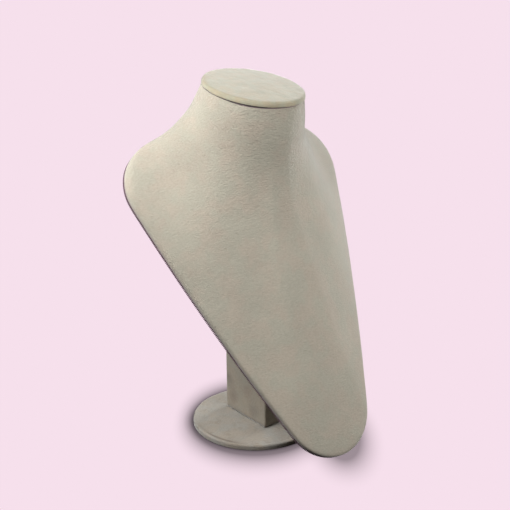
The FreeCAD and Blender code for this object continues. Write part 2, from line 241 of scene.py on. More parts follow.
class Group(Graph):
    """A node group with named inputs and outputs."""

    KINDS = {float: "NodeSocketFloat", int: "NodeSocketInt", tuple: "NodeSocketVector"}

    def __init__(self, name: str, inputs: dict[str, object], outputs: tuple[str, ...],
                 kind: str = "ShaderNodeTree", socket: str = "NodeSocketFloat") -> None:
        """Makes the group and its sockets.

        Args:
            name: The group's name.
            inputs: Input name, with its default value, or its socket type where it has none.
            outputs: Output names.
            kind: Blender type of the tree.
            socket: Socket type of the outputs.
        """
        super().__init__(bpy.data.node_groups.new(name, kind))
        for label, default in inputs.items():
            bare = isinstance(default, str)
            item = self.tree.interface.new_socket(
                name=label, in_out="INPUT", socket_type=default if bare else self.KINDS[type(default)])
            if not bare:
                item.default_value = default
        for label in outputs:
            self.tree.interface.new_socket(name=label, in_out="OUTPUT", socket_type=socket)
        enter = self.node("NodeGroupInput")
        self.leave = self.node("NodeGroupOutput")
        self.given = [enter.outputs[label] for label in inputs]


def nap_group() -> Tree:
    """Pebbled grain under a short nap: a height for the bump and a tone for the colour.

    Returns:
        The group.
    """
    group = Group("short_nap", {
        "Vector": ORIGIN, "Grain": 0.002, "Stretch": 1.6, "Nap": 0.0005, "Seed": 0.0}, ("Height", "Tone"))
    vector, grain, stretch, nap, seed = group.given
    grains_to_a_swell, swell_rise, pile_rise, pile_tone = 2.6, 0.4, 0.25, 0.4
    place = group.stretched(vector, stretch)
    pebble = group.noise(place, grain, seed, detail=1.0, roughness=0.4)
    swell = group.noise(place, group.math("MULTIPLY", grain, grains_to_a_swell), seed, detail=0.0)
    pile = group.noise(vector, nap, seed, detail=1.0)
    group.feed(group.leave, {
        "Height": group.total((pebble, 1.0), (swell, swell_rise), (pile, pile_rise)),
        "Tone": group.total((pebble, 1 - pile_tone), (pile, pile_tone))})
    return group.tree


def mottle_group() -> Tree:
    """Cloudy patches: how light and how warm the surface is from place to place.

    Returns:
        The group.
    """
    group = Group("cloudy_patches", {"Vector": ORIGIN, "Patch": 0.03, "Seed": 0.0}, ("Light", "Warm"))
    vector, patch, seed = group.given
    small_size, small_seed = 0.45, 7.3
    large = group.noise(vector, patch, seed, detail=3.0, roughness=0.55)
    smaller, other = group.math("MULTIPLY", patch, small_size), group.math("ADD", seed, small_seed)
    small = group.noise(vector, smaller, other)
    group.feed(group.leave, {
        "Light": group.spread(large, low=0.3, high=0.7), "Warm": group.spread(small, low=0.35, high=0.65)})
    return group.tree


def marks_group() -> Tree:
    """Scattered soft marks, as where glue has soaked in or a finger has pressed the nap.

    Returns:
        The group.
    """
    group = Group("soft_marks", {"Vector": ORIGIN, "Size": 0.01, "Cover": 0.3, "Seed": 0.0}, ("Mask",))
    vector, size, cover, seed = group.given
    bare, pull, softness = 0.8, 0.5, 0.12
    cloud = group.noise(vector, size, seed, detail=2.5, roughness=0.6)
    edge = group.math("SUBTRACT", bare, group.math("MULTIPLY", cover, pull))
    above = group.math("SUBTRACT", cloud, edge)
    group.feed(group.leave, {"Mask": group.spread(above, low=0.0, high=softness)})
    return group.tree


def grain_group() -> Tree:
    """Long streaks with fine fibres between them, for timber and pressed board.

    Returns:
        The group.
    """
    group = Group("wood_streaks", {
        "Vector": ORIGIN, "Streak": 0.003, "Stretch": 12.0, "Seed": 0.0}, ("Tone", "Height"))
    vector, streak, stretch, seed = group.given
    fibre_size, broad_share, fine_share = 0.2, 0.7, 0.3
    place = group.stretched(vector, stretch)
    broad = group.noise(place, streak, seed, detail=3.0, roughness=0.6)
    fine = group.noise(place, group.math("MULTIPLY", streak, fibre_size), seed)
    tone = group.total((broad, broad_share), (fine, fine_share))
    group.feed(group.leave, {"Tone": group.spread(tone, low=0.3, high=0.7), "Height": fine})
    return group.tree


@dataclass(frozen=True)
class Effects:
    """The shader groups that the finishes share, each built once."""

    nap: Tree = field(default_factory=nap_group)
    mottle: Tree = field(default_factory=mottle_group)
    marks: Tree = field(default_factory=marks_group)
    grain: Tree = field(default_factory=grain_group)


# ---------------------------------------------------------------- finishes


def emptied(owner: Material | bpy.types.World) -> Tree:
    """Gives a material or a world an empty node tree.

    Args:
        owner: The material or the world.

    Returns:
        Its tree.
    """
    owner.use_nodes = True
    owner.node_tree.nodes.clear()
    return owner.node_tree


class Surface(Graph):
    """The graph of one material, with the shared effects and the place of a point on its piece."""

    def __init__(self, material: Material, effects: Effects, turn: Triple) -> None:
        """Empties the material and adds the place.

        Args:
            material: The material.
            effects: The shared effects.
            turn: How the pattern lies on the piece, as a turn in radians about each axis.
        """
        super().__init__(emptied(material))
        self.effects = effects
        spot = self.node("ShaderNodeTexCoord").outputs["Object"]
        self.place = self.out("ShaderNodeMapping", {"Vector": spot, "Rotation": turn})

    def use(self, group: Tree, **inputs: object) -> bpy.types.bpy_prop_collection:
        """Places a shared group, feeds its inputs by name and returns its outputs."""
        return self.node("ShaderNodeGroup", {"Vector": self.place, **inputs}, node_tree=group).outputs

    def kept(self, name: str) -> Socket:
        """Reads a value that a piece's mesh keeps on its points, 0 where it keeps none."""
        return self.node("ShaderNodeAttribute", attribute_name=name).outputs["Fac"]


@dataclass(frozen=True, kw_only=True)
class Finish:
    """What all finishes have."""

    name: str
    seed: float
    roughness: float
    specular: float
    turn: Triple = ORIGIN

    def material(self, effects: Effects) -> Material:
        """Builds the material.

        Args:
            effects: The shared effects.

        Returns:
            The material.
        """
        material = bpy.data.materials.new(self.name)
        graph = Surface(material, effects, self.turn)
        plain = {"Roughness": self.roughness, "Specular IOR Level": self.specular}
        shader = graph.out("ShaderNodeBsdfPrincipled", {**plain, **self.dress(graph)})
        graph.node("ShaderNodeOutputMaterial", {"Surface": shader})
        return material

    def dress(self, graph: Surface) -> dict[str, object]:
        """Adds the finish's own nodes and returns the shader inputs that they feed, by name."""
        raise NotImplementedError


@dataclass(frozen=True, kw_only=True)
class Suede(Finish):
    """Microfibre suede with a pebbled grain and a short nap.

    The warm and cool tones are the two ends of its cloudy patches, and the mark is the
    tone where glue or hands have flattened the nap. Turn lays the grain along a piece.
    The mesh says where soil and painted shade darken it, and where it is pulled taut and its grain stands
    out.
    """

    seed: float = 1.0
    roughness: float = 0.92
    specular: float = 0.12
    warm: Triple = (175, 165, 150)
    cool: Triple = (171, 166, 151)
    mark: Triple = (142, 129, 112)
    # Colour of the kept darkening: real soil, glue, stains and seams, and painted shade on the rim, under
    # the bust and in the base's fold.
    soil_and_shade: Triple = (100, 74, 84)
    lightness: float = 0.08
    marking: float = 0.2
    marks_to_a_patch: float = 3.0
    marks_seed: float = 3.1
    mark_strength: float = 0.5
    patch: float = 34.0
    grain: float = 1.2
    stretch: float = 2.0
    nap: float = 0.45
    relief: float = 0.23
    taut_relief: float = 0.62
    fleck: float = 0.42
    sheen: float = 1.0
    sheen_roughness: float = 0.42
    sheen_tint: Triple = (244, 243, 238)

    def dress(self, graph: Surface) -> dict[str, object]:
        """Adds the nodes of the nap, the patches, the marks and the soil.

        Args:
            graph: The material's graph.

        Returns:
            Shader inputs by name.
        """
        nap = graph.use(graph.effects.nap, Grain=self.grain * MM, Stretch=self.stretch, Nap=self.nap * MM,
                        Seed=self.seed)
        patches = graph.use(graph.effects.mottle, Patch=self.patch * MM, Seed=self.seed)
        size, seed = self.patch * MM / self.marks_to_a_patch, self.seed + self.marks_seed
        marks = graph.use(graph.effects.marks, Size=size, Cover=self.marking, Seed=seed)
        marked = graph.math("MULTIPLY", marks["Mask"], self.mark_strength)
        colour = graph.mix(patches["Warm"], self.cool, self.warm)
        colour = graph.mix(marked, colour, self.mark)
        # Mixes in the kept darkening: real soil, glue, stains and seams, and painted shade on the rim, under
        # the bust and in the base's fold.
        colour = graph.mix(graph.kept("soil_and_shade"), colour, self.soil_and_shade)
        cloud = graph.around_one(patches["Light"], self.lightness)
        pebble = graph.around_one(nap["Tone"], self.fleck)
        rise = graph.math("MULTIPLY_ADD", graph.kept("taut"), self.taut_relief * MM, self.relief * MM)
        height = graph.math("MULTIPLY", nap["Height"], rise)
        return {
            "Base Color": graph.scaled(colour, graph.math("MULTIPLY", cloud, pebble)),
            "Normal": graph.bump(height, distance=1.0), "Sheen Weight": self.sheen,
            "Sheen Roughness": self.sheen_roughness, "Sheen Tint": linear(self.sheen_tint)}


@dataclass(frozen=True, kw_only=True)
class Felt(Finish):
    """Thin dense felt with loose fibres."""

    name: str = "felt"
    seed: float = 5.0
    roughness: float = 0.95
    specular: float = 0.1
    colour: Triple = (58, 56, 55)
    lint: Triple = (104, 101, 98)
    lint_range: tuple[float, float] = (0.42, 0.66)
    grain: float = 1.2
    nap: float = 0.4
    relief: float = 0.4
    bump: float = 0.5
    sheen: float = 0.3

    def dress(self, graph: Surface) -> dict[str, object]:
        """Adds the nodes of the fibres.

        Args:
            graph: The material's graph.

        Returns:
            Shader inputs by name.
        """
        nap = graph.use(
            graph.effects.nap, Grain=self.grain * MM, Stretch=1.0, Nap=self.nap * MM, Seed=self.seed)
        fibre = graph.spread(nap["Tone"], *self.lint_range)
        return {
            "Base Color": graph.mix(fibre, self.colour, self.lint),
            "Normal": graph.bump(nap["Height"], self.relief * MM, self.bump), "Sheen Weight": self.sheen}


@dataclass(frozen=True, kw_only=True)
class Wood(Finish):
    """Sawn timber or pressed board, by how long its streaks are."""

    seed: float = 2.0
    roughness: float = 0.75
    specular: float = 0.25
    dark: Triple
    pale: Triple
    streak: float
    stretch: float
    relief: float = 0.3
    bump: float = 0.3

    def dress(self, graph: Surface) -> dict[str, object]:
        """Adds the nodes of the streaks.

        Args:
            graph: The material's graph.

        Returns:
            Shader inputs by name.
        """
        streaks = graph.use(
            graph.effects.grain, Streak=self.streak * MM, Stretch=self.stretch, Seed=self.seed)
        return {
            "Base Color": graph.mix(streaks["Tone"], self.dark, self.pale),
            "Normal": graph.bump(streaks["Height"], self.relief * MM, self.bump)}


@dataclass(frozen=True, kw_only=True)
class Moulding(Finish):
    """Matt moulded plastic with the fine orange peel of its mould."""

    name: str = "moulding"
    seed: float = 8.0
    roughness: float = 0.6
    specular: float = 0.4
    # Dark grey-brown plastic: partly its own colour, partly painted shade for the gap under the cap, where
    # the shell shows.
    colour: Triple = (104, 99, 93)
    dull: Triple = (92, 87, 81)
    patch: float = 50.0
    peel: float = 0.8
    relief: float = 0.2
    bump: float = 0.15

    def dress(self, graph: Surface) -> dict[str, object]:
        """Adds the nodes of the dull patches and the peel.

        Args:
            graph: The material's graph.

        Returns:
            Shader inputs by name.
        """
        patches = graph.use(graph.effects.mottle, Patch=self.patch * MM, Seed=self.seed)
        peel = graph.noise(graph.place, self.peel * MM, self.seed)
        return {
            "Base Color": graph.mix(patches["Light"], self.dull, self.colour),
            "Normal": graph.bump(peel, self.relief * MM, self.bump)}


@dataclass(frozen=True, kw_only=True)
class ZincSteel(Finish):
    """Zinc-plated screw steel, slightly uneven in its shine."""

    name: str = "zinc_steel"
    seed: float = 11.0
    roughness: float = 0.28
    roughness_play: float = 0.15
    specular: float = 0.5
    colour: Triple = (178, 180, 184)
    dull: Triple = (164, 165, 168)
    patch: float = 3.0

    def dress(self, graph: Surface) -> dict[str, object]:
        """Adds the nodes of the uneven shine.

        Args:
            graph: The material's graph.

        Returns:
            Shader inputs by name.
        """
        patches = graph.use(graph.effects.mottle, Patch=self.patch * MM, Seed=self.seed)
        return {
            "Base Color": graph.mix(patches["Warm"], self.dull, self.colour), "Metallic": 1.0,
            "Roughness": graph.math("MULTIPLY_ADD", patches["Light"], self.roughness_play, self.roughness)}


# ---------------------------------------------------------------- meshes


def into_scene(name: str, data: bpy.types.ID) -> Object:
    """Makes an object of a mesh, a lamp or a camera and puts it into the scene.

    Args:
        name: The object's name.
        data: What it shows.

    Returns:
        The object.
    """
    made = bpy.data.objects.new(name, data)
    bpy.context.scene.collection.objects.link(made)
    return made


def finished(mesh: Mesh, name: str, material: Material,
             edge: Material | None = None) -> Object:
    """Puts a mesh into the scene as a smooth, outward-facing piece.

    Args:
        mesh: The piece's mesh, with its cut edges marked by the face attribute "edge" if it has any.
        name: The piece's name.
        material: Its material.
        edge: The material of its cut edges, if they differ.

    Returns:
        The piece.
    """
    mesh.materials.clear()
    mesh.materials.append(material)
    if edge:
        mesh.materials.append(edge)
    work = bmesh.new()
    work.from_mesh(mesh)
    bmesh.ops.remove_doubles(work, verts=work.verts, dist=MERGE * MM)
    bmesh.ops.recalc_face_normals(work, faces=work.faces)
    marks = work.faces.layers.int.get("edge")
    for face in work.faces:
        face.smooth = True
        face.material_index = face[marks] if marks else 0
    work.to_mesh(mesh)
    work.free()
    mesh.name = name
    return into_scene(name, mesh)


def ring_mesh(rings: Points) -> Mesh:
    """Makes a mesh that closes on itself both ways from rings of points.

    Args:
        rings: Points in metres, as rings by places round a ring by three.

    Returns:
        The mesh.
    """
    count, around = rings.shape[:2]
    index = np.arange(count * around).reshape(count, around)
    right = np.roll(index, -1, axis=1)
    below = np.roll(index, -1, axis=0)
    corner = np.roll(below, -1, axis=1)
    quads = np.stack([index, right, corner, below], axis=-1).reshape(-1, 4)
    mesh = bpy.data.meshes.new("rings")
    mesh.from_pydata(rings.reshape(-1, 3).tolist(), [], quads.tolist())
    return mesh


def line_mesh(points: Points, outward: Points | None = None) -> Mesh:
    """Makes a mesh of one line of edges, in metres.

    Args:
        points: The line's points in millimetres.
        outward: A direction for each point of a closed line, kept as an attribute. An open line has none.

    Returns:
        The mesh.
    """
    count = len(points)
    closed = outward is not None
    edges = [(n, (n + 1) % count) for n in range(count if closed else count - 1)]
    mesh = bpy.data.meshes.new("line")
    mesh.from_pydata((points * MM).tolist(), edges, [])
    if closed:
        keep_values(mesh, "outward", outward, kind="FLOAT_VECTOR")
    return mesh


def keep_values(mesh: Mesh, name: str, values: Points, kind: str = "FLOAT", domain: str = "POINT") -> None:
    """Keeps a value for each point or face of a mesh as an attribute.

    Args:
        mesh: The mesh.
        name: The attribute's name.
        values: The values, in the mesh's own order.
        kind: The attribute's Blender type.
        domain: Whether it is on the points or the faces.
    """
    kept = mesh.attributes.new(name, kind, domain)
    numbers = values.astype(np.int32 if kind == "INT" else np.float32).ravel()
    kept.data.foreach_set("vector" if kind == "FLOAT_VECTOR" else "value", numbers)


def unit(vectors: Points) -> Points:
    """Scales vectors to length one."""
    return vectors / np.linalg.norm(vectors, axis=-1, keepdims=True)


def hump(offset: Points, width: float) -> Points:
    """A smooth hump: 1 at no offset, and nearly 0 from twice the width on."""
    return np.exp(-((offset / width) ** 2))


def ripples(places: Points, size: float, seed: Wave) -> Points:
    """Gentle random waves.

    Args:
        places: Points of any number of dimensions.
        size: Typical wavelength, in the points' units.
        seed: Picks the waves.

    Returns:
        A value of about -1 to 1 for each point.
    """
    draw = np.random.default_rng(int(seed))
    facing = unit(draw.normal(size=(WAVES, places.shape[-1])))
    rate = 2 * math.pi / (size * draw.uniform(*WAVE_SPREAD, size=WAVES))
    phase = draw.uniform(0, 2 * math.pi, size=WAVES)
    return np.sin((places @ facing.T) * rate + phase).sum(axis=-1) / math.sqrt(2 * WAVES)


def rounded_path(corners: list[Triple], spacing: float) -> Points:
    """Runs a line through corners and rounds them.

    Args:
        corners: Each corner's two coordinates and its rounding.
        spacing: Largest step between two points of the result.

    Returns:
        The points of the line.
    """
    line = [np.array(corners[0][:2])]
    for before, corner, after in zip(corners, corners[1:], corners[2:]):
        point = np.array(corner[:2])
        if not corner[2]:
            line.append(point)
            continue
        back = unit(np.array(before[:2]) - point)
        ahead = unit(np.array(after[:2]) - point)
        half = math.acos(float(np.clip(back @ ahead, -1, 1))) / 2
        centre = point + unit(back + ahead) * (corner[2] / math.sin(half))
        start = point + back * (corner[2] / math.tan(half)) - centre
        end = point + ahead * (corner[2] / math.tan(half)) - centre
        sweep = math.pi - 2 * half
        for share in np.linspace(0, 1, ARC_POINTS):
            arm = start * math.sin((1 - share) * sweep) + end * math.sin(share * sweep)
            line.append(centre + arm / math.sin(sweep))
    line.append(np.array(corners[-1][:2]))
    dense = [line[0]]
    for start, end in zip(line, line[1:]):
        steps = max(1, math.ceil(np.linalg.norm(end - start) / spacing))
        dense += [start + (end - start) * step / steps for step in range(1, steps + 1)]
    return np.array(dense)


# ---------------------------------------------------------------- geometry nodes


class ModifierTree(Group):
    """A Geometry Nodes tree with named inputs, run once on a mesh to make a plain mesh."""

    def __init__(self, name: str, inputs: dict[str, object]) -> None:
        """Makes the tree without its nodes, with the material as its last input."""
        super().__init__(name, {**inputs, "Material": "NodeSocketMaterial"}, ("Shape",),
                         "GeometryNodeTree", "NodeSocketGeometry")

    def end(self, shape: Socket) -> None:
        """Makes a shape's instances real, gives it the material and puts it out.

        Args:
            shape: The output that holds it.
        """
        plain = self.out("GeometryNodeRealizeInstances", {0: shape})
        dressed = self.out("GeometryNodeSetMaterial", {"Geometry": plain, "Material": self.given[-1]})
        self.feed(self.leave, {"Shape": dressed})

    def run(self, source: Mesh, inputs: dict[str, object]) -> Mesh:
        """Runs the tree.

        Args:
            source: The mesh that goes in.
            inputs: Values by input name.

        Returns:
            The mesh that comes out.
        """
        items = self.tree.interface.items_tree
        sockets = {item.name: item.identifier for item in items if item.in_out == "INPUT"}
        holder = into_scene("holder", source)
        modifier = holder.modifiers.new("nodes", "NODES")
        modifier.node_group = self.tree
        for name, value in inputs.items():
            modifier[sockets[name]] = value
        depsgraph = bpy.context.evaluated_depsgraph_get()
        result = bpy.data.meshes.new_from_object(holder.evaluated_get(depsgraph), depsgraph=depsgraph)
        holder.modifiers.clear()
        bpy.data.objects.remove(holder)
        return result


def spun_tree() -> ModifierTree:
    """Makes the tree that spins a section about Z into a rippled sheet.

    Returns:
        The tree.
    """
    tree = ModifierTree("spun_sheet", {
        "Section": "NodeSocketGeometry", "Segments": 64, "Ripple": 0.0, "Ripple Size": 0.02, "Seed": 0.0})
    section, segments, ripple, ripple_size, seed, _ = tree.given
    merge = 2e-6
    here = tree.out("GeometryNodeInputPosition")
    points = tree.node("GeometryNodeAttributeDomainSize", {0: section}).outputs["Point Count"]
    around = tree.math("ADD", segments, 1.0)
    grid = tree.out("GeometryNodeMeshGrid", {
        "Size X": 1.0, "Size Y": 1.0, "Vertices X": points, "Vertices Y": around})
    share_x, share_y, _ = tree.node("ShaderNodeSeparateXYZ", {0: here}).outputs
    last = tree.math("SUBTRACT", points, 1.0)
    number = tree.math("ROUND", tree.math("MULTIPLY", tree.math("ADD", share_x, 0.5), last))
    sample = {"Geometry": section, "Index": number, "Value": here}
    spot = tree.node("GeometryNodeSampleIndex", sample, data_type="FLOAT_VECTOR").outputs["Value"]
    radius, _, height = tree.node("ShaderNodeSeparateXYZ", {0: spot}).outputs
    turn = tree.math("MULTIPLY", share_y, 2 * math.pi)
    x = tree.math("MULTIPLY", radius, tree.math("COSINE", turn))
    y = tree.math("MULTIPLY", radius, tree.math("SINE", turn))
    place = tree.out("ShaderNodeCombineXYZ", {0: x, 1: y, 2: height})
    spun = tree.out("GeometryNodeSetPosition", {"Geometry": grid, "Position": place})
    closed = tree.out("GeometryNodeMergeByDistance", {"Geometry": spun, "Distance": merge})
    wave = tree.noise(here, ripple_size, seed, detail=1.0)
    lift = tree.math("MULTIPLY", tree.math("SUBTRACT", wave, 0.5), ripple)
    offset = tree.scaled(tree.out("GeometryNodeInputNormal"), lift)
    tree.end(tree.out("GeometryNodeSetPosition", {"Geometry": closed, "Offset": offset}))
    return tree


def overcast_tree() -> ModifierTree:
    """Makes the tree that winds a thread round a closed edge, which knows its own outward direction.

    Returns:
        The tree.
    """
    tree = ModifierTree("overcast_thread", {
        "Edge": "NodeSocketGeometry", "Turns": 100, "Reach": 0.001, "Thread": 0.0003, "Steps": 10,
        "Sides": 5, "Rearward": (0.0, 0.0, -1.0)})
    edge, turns, reach, thread, steps, sides, rearward, _ = tree.given
    line = tree.out("GeometryNodeMeshToCurve", {"Mesh": edge})
    count = tree.math("MULTIPLY", turns, steps)
    even = tree.out("GeometryNodeResampleCurve", {"Curve": line, "Count": count})
    along = tree.node("GeometryNodeSplineParameter").outputs["Factor"]
    turn = tree.math("MULTIPLY", tree.math("MULTIPLY", along, turns), 2 * math.pi)
    outward = tree.node("GeometryNodeInputNamedAttribute", {"Name": "outward"}, data_type="FLOAT_VECTOR")
    out_by = tree.math("MULTIPLY", tree.math("COSINE", turn), reach)
    back_by = tree.math("MULTIPLY", tree.math("SINE", turn), reach)
    offset = tree.vector(
        "ADD", tree.scaled(outward.outputs["Attribute"], out_by), tree.scaled(rearward, back_by))
    wound = tree.out("GeometryNodeSetPosition", {"Geometry": even, "Offset": offset})
    strand = tree.out("GeometryNodeCurvePrimitiveCircle", {"Resolution": sides, "Radius": thread})
    tree.end(tree.out("GeometryNodeCurveToMesh", {"Curve": wound, "Profile Curve": strand}))
    return tree


# ---------------------------------------------------------------- the bust


@dataclass(frozen=True)
class BustForm:
    """The bust's outer form, with the sizes that its CAD source gives.

    A section is the reach and the height of each control ring, from the neck's foot to the
    rim and from the rim to the neck's top, as shares.
    """

    tip_radius: float = 50.0
    side_radius: float = 1890.0
    shoulder_radius: float = 44.0
    shoulder: tuple[float, float] = (80.6, 279.3)
    trapezius_radius: float = 59.7
    nape_radius: float = 53.4
    nape_y: float = 290.6
    rim_depth: float = 7.0
    rim_rounding: float = 6.0
    rim_tuck: float = 1.5
    neck_foot_y: float = 273.0
    neck_pitch: float = 47.5
    neck_length: float = 97.7
    neck_radius: float = 47.5
    nape_blend: float = 0.55
    crest_share: float = 0.6
    lean: float = 33.2
    tip: tuple[float, float] = (-123.4, 12.9)
    tip_section: tuple = ((0.04, 0.86), (0.03, 0.66), (0.10, 0.46), (0.38, 0.27), (0.74, 0.083))
    shoulder_section: tuple = ((0.09, 0.89), (0.11, 0.69), (0.29, 0.49), (0.54, 0.25), (0.93, 0.086))
    nape_section: tuple = ((0.12, 0.86), (0.32, 0.67), (0.52, 0.48), (0.71, 0.25), (0.86, 0.04))
    chest_fullness: tuple = (0.0, 0.0, 0.04, 0.10, 0.06)
    arc_steps: tuple = (8, 12, 10, 6, 8)

    @property
    def axis(self) -> Points:
        """Direction of the neck, up to its cap."""
        pitch = math.radians(self.neck_pitch)
        return np.array([0.0, math.cos(pitch), math.sin(pitch)])

    @property
    def forward(self) -> Points:
        """Direction in the cap's plane towards the tip."""
        pitch = math.radians(self.neck_pitch)
        return np.array([0.0, -math.sin(pitch), math.cos(pitch)])

    @property
    def neck_top(self) -> Points:
        """Middle of the underside of the cap."""
        return np.array([0.0, self.neck_foot_y, 0.0]) + self.axis * self.neck_length

    def to_table(self) -> Matrix:
        """Gives the matrix from the bench frame in millimetres to the standing frame in metres.

        Returns:
            The matrix.
        """
        turn = Matrix.Rotation(math.radians(90 - self.lean), 4, "X")
        place = Matrix.Translation(Vector((0, self.tip[0], self.tip[1])) * MM)
        return place @ turn @ Matrix.Scale(MM, 4)

    def placed(self, points: Points) -> Points:
        """Moves points from the bench frame to the standing frame."""
        matrix = np.array(self.to_table())
        return points @ matrix[:3, :3].T + matrix[:3, 3]

    def plane_height(self, y: Points, setback: float = 0.0) -> Points:
        """Height of the back plane over the table at a standing y, or of one set back from it."""
        return (y - self.tip[0] - setback) / math.tan(math.radians(self.lean)) + self.tip[1]

    def arcs(self) -> list[tuple[Points, float, float, float, int]]:
        """Works out the arcs of the outline's right half.

        Returns:
            Centre, radius, start, end and steps of each arc. The radius is negative where it is hollow.
        """
        tip = np.array([0.0, self.tip_radius])
        shoulder = np.array(self.shoulder)
        nape = np.array([0.0, self.nape_y])
        side = meeting(tip, self.side_radius - self.tip_radius, shoulder,
                       self.side_radius - self.shoulder_radius, 1)
        hollow = meeting(shoulder, self.shoulder_radius + self.trapezius_radius, nape,
                         self.nape_radius + self.trapezius_radius, -1)
        tip_end, side_end = bearing(side, tip), bearing(side, shoulder)
        turns = [
            (tip, self.tip_radius, -math.pi / 2, tip_end),
            (side, self.side_radius, tip_end, side_end),
            (shoulder, self.shoulder_radius, side_end, bearing(shoulder, hollow)),
            (hollow, -self.trapezius_radius, bearing(hollow, shoulder), bearing(hollow, nape)),
            (nape, self.nape_radius, bearing(nape, hollow), math.pi / 2),
        ]
        return [(*turn, steps) for turn, steps in zip(turns, self.arc_steps)]

    def outline(self, inset: float = 0.0) -> Points:
        """Works out the outline, from the tip up the right and down the left.

        Args:
            inset: How far inside the rim it runs.

        Returns:
            The control points of a closed cubic spline.
        """
        right = []
        for centre, radius, start, end, steps in self.arcs():
            stand_off = 3 / (2 + math.cos((end - start) / steps))
            reach = abs(radius - inset) * stand_off
            angles = start + (end - start) * np.arange(steps) / steps
            right += [centre + reach * np.array([math.cos(a), math.sin(a)]) for a in angles]
        right.append(centre + reach * np.array([0.0, 1.0]))
        half = np.array(right)
        left = (half[1:-1] * [-1, 1])[::-1]
        flat = np.concatenate([half, left])
        return np.column_stack([flat, np.zeros(len(flat))])

    def rim(self, inset: float, count: int) -> Points:
        """Gives points at even steps round the outline, in the back plane."""
        outline = self.outline(inset)
        return round_weights(len(outline), count) @ outline

    def cage(self) -> Points:
        """Works out the skin's control points.

        Returns:
            Rings of points, from the neck's top to the back plane.
        """
        edge, tucked = self.outline(), self.outline(self.rim_tuck)
        turn = np.arctan2(np.abs(edge[:, 0]), self.neck_foot_y - edge[:, 1])[:, None]
        side = np.where(edge[:, :1] < 0, -1.0, 1.0)
        lean = np.clip((turn / math.pi - self.nape_blend) / (1 - self.nape_blend), 0, 1)
        lean = lean * lean * (3 - 2 * lean)
        wall = np.array([0.0, 0.0, 1.0]) * (1 - lean) + self.axis * (lean / self.axis[2])
        crest = edge + wall * self.rim_depth
        across = np.array([1.0, 0.0, 0.0])
        lip = self.neck_top + (across * side * np.sin(turn) + self.forward * np.cos(turn)) * self.neck_radius
        drop = (lip[:, 2:] - self.rim_depth) / self.axis[2]
        foot = lip - self.axis * drop
        shares = [np.maximum(np.cos(turn), 0) ** 2, np.sin(turn) ** 2, np.maximum(-np.cos(turn), 0) ** 2]
        between = np.where(turn < math.pi / 2, np.sin(2 * turn) ** 2, 0)
        rings = [lip]
        sections = zip(self.tip_section, self.shoulder_section, self.nape_section, self.chest_fullness)
        for *pairs, fullness in sections:
            reach = sum(pair[0] * share for pair, share in zip(pairs, shares))
            height = sum(pair[1] * share for pair, share in zip(pairs, shares)) + fullness * between
            rings.append(foot + (crest - foot) * reach + self.axis * (drop * height))
        inward = rings[-1] - crest
        length = np.linalg.norm(inward, axis=1, keepdims=True)
        rings.append(crest + inward * np.minimum(self.rim_rounding / length, self.crest_share))
        return np.array(rings + [crest, (crest + edge) / 2, tucked])

    def neck_drop(self, points: Points) -> Points:
        """How far points lie below the underside of the cap, along the neck."""
        return (self.neck_top - points) @ self.axis


def meeting(first: Points, reach: float, second: Points, other_reach: float, side: int) -> Points:
    """Finds the point that lies two given distances from two centres.

    Args:
        first: The first centre.
        reach: Distance from it.
        second: The second centre.
        other_reach: Distance from that.
        side: 1 for the point left of the way from the first to the second, -1 for the one right of it.

    Returns:
        The point.
    """
    line = second - first
    span = float(np.linalg.norm(line))
    along = (span ** 2 + reach ** 2 - other_reach ** 2) / (2 * span)
    across = math.sqrt(max(reach ** 2 - along ** 2, 0))
    return first + line / span * along + np.array([-line[1], line[0]]) / span * side * across


def bearing(centre: Points, point: Points) -> float:
    """Angle of the way from a centre to a point."""
    return math.atan2(point[1] - centre[1], point[0] - centre[0])


def round_weights(count: int, samples: int) -> Points:
    """Works out a closed cubic spline's weights at even steps round it.

    Args:
        count: How many control points it has.
        samples: How many steps.

    Returns:
        Weights, as steps by control points.
    """
    place = np.arange(samples) * count / samples
    whole = place.astype(int)
    part = place - whole
    pulls = [
        (1 - part) ** 3, 3 * part ** 3 - 6 * part ** 2 + 4,
        -3 * part ** 3 + 3 * part ** 2 + 3 * part + 1, part ** 3]
    weights = np.zeros((samples, count))
    for step, pull in enumerate(pulls):
        weights[np.arange(samples), (whole + step - 1) % count] += pull / 6
    return weights


def open_weights(count: int, samples: int) -> Points:
    """Works out a clamped cubic spline's weights at even steps along it.

    Args:
        count: How many control points it has.
        samples: How many steps.

    Returns:
        Weights, as steps by control points.
    """
    knots = np.concatenate([np.zeros(3), np.arange(count - 2), np.full(3, count - 3)]).astype(float)
    place = np.linspace(0, count - 3, samples)
    place[-1] -= 1e-9
    weights = ((knots[:-1] <= place[:, None]) & (place[:, None] < knots[1:])).astype(float)
    for degree in range(1, 4):
        span = len(knots) - 1 - degree
        rise, fall = knots[degree:degree + span] - knots[:span], knots[degree + 1:] - knots[1:span + 1]
        up = np.where(rise > 0, (place[:, None] - knots[:span]) / np.where(rise > 0, rise, 1), 0)
        down = np.where(fall > 0, (knots[degree + 1:] - place[:, None]) / np.where(fall > 0, fall, 1), 0)
        weights = up * weights[:, :span] + down * weights[:, 1:span + 1]
    return weights


def grid_normals(grid: Points) -> Points:
    """Works out the outward normals of a grid of points.

    Args:
        grid: Rows of points that run rightwards round it, from the top down.

    Returns:
        A normal for each point.
    """
    down = np.gradient(grid, axis=0)
    rightward = np.roll(grid, -1, axis=1) - np.roll(grid, 1, axis=1)
    return unit(np.cross(down, rightward))


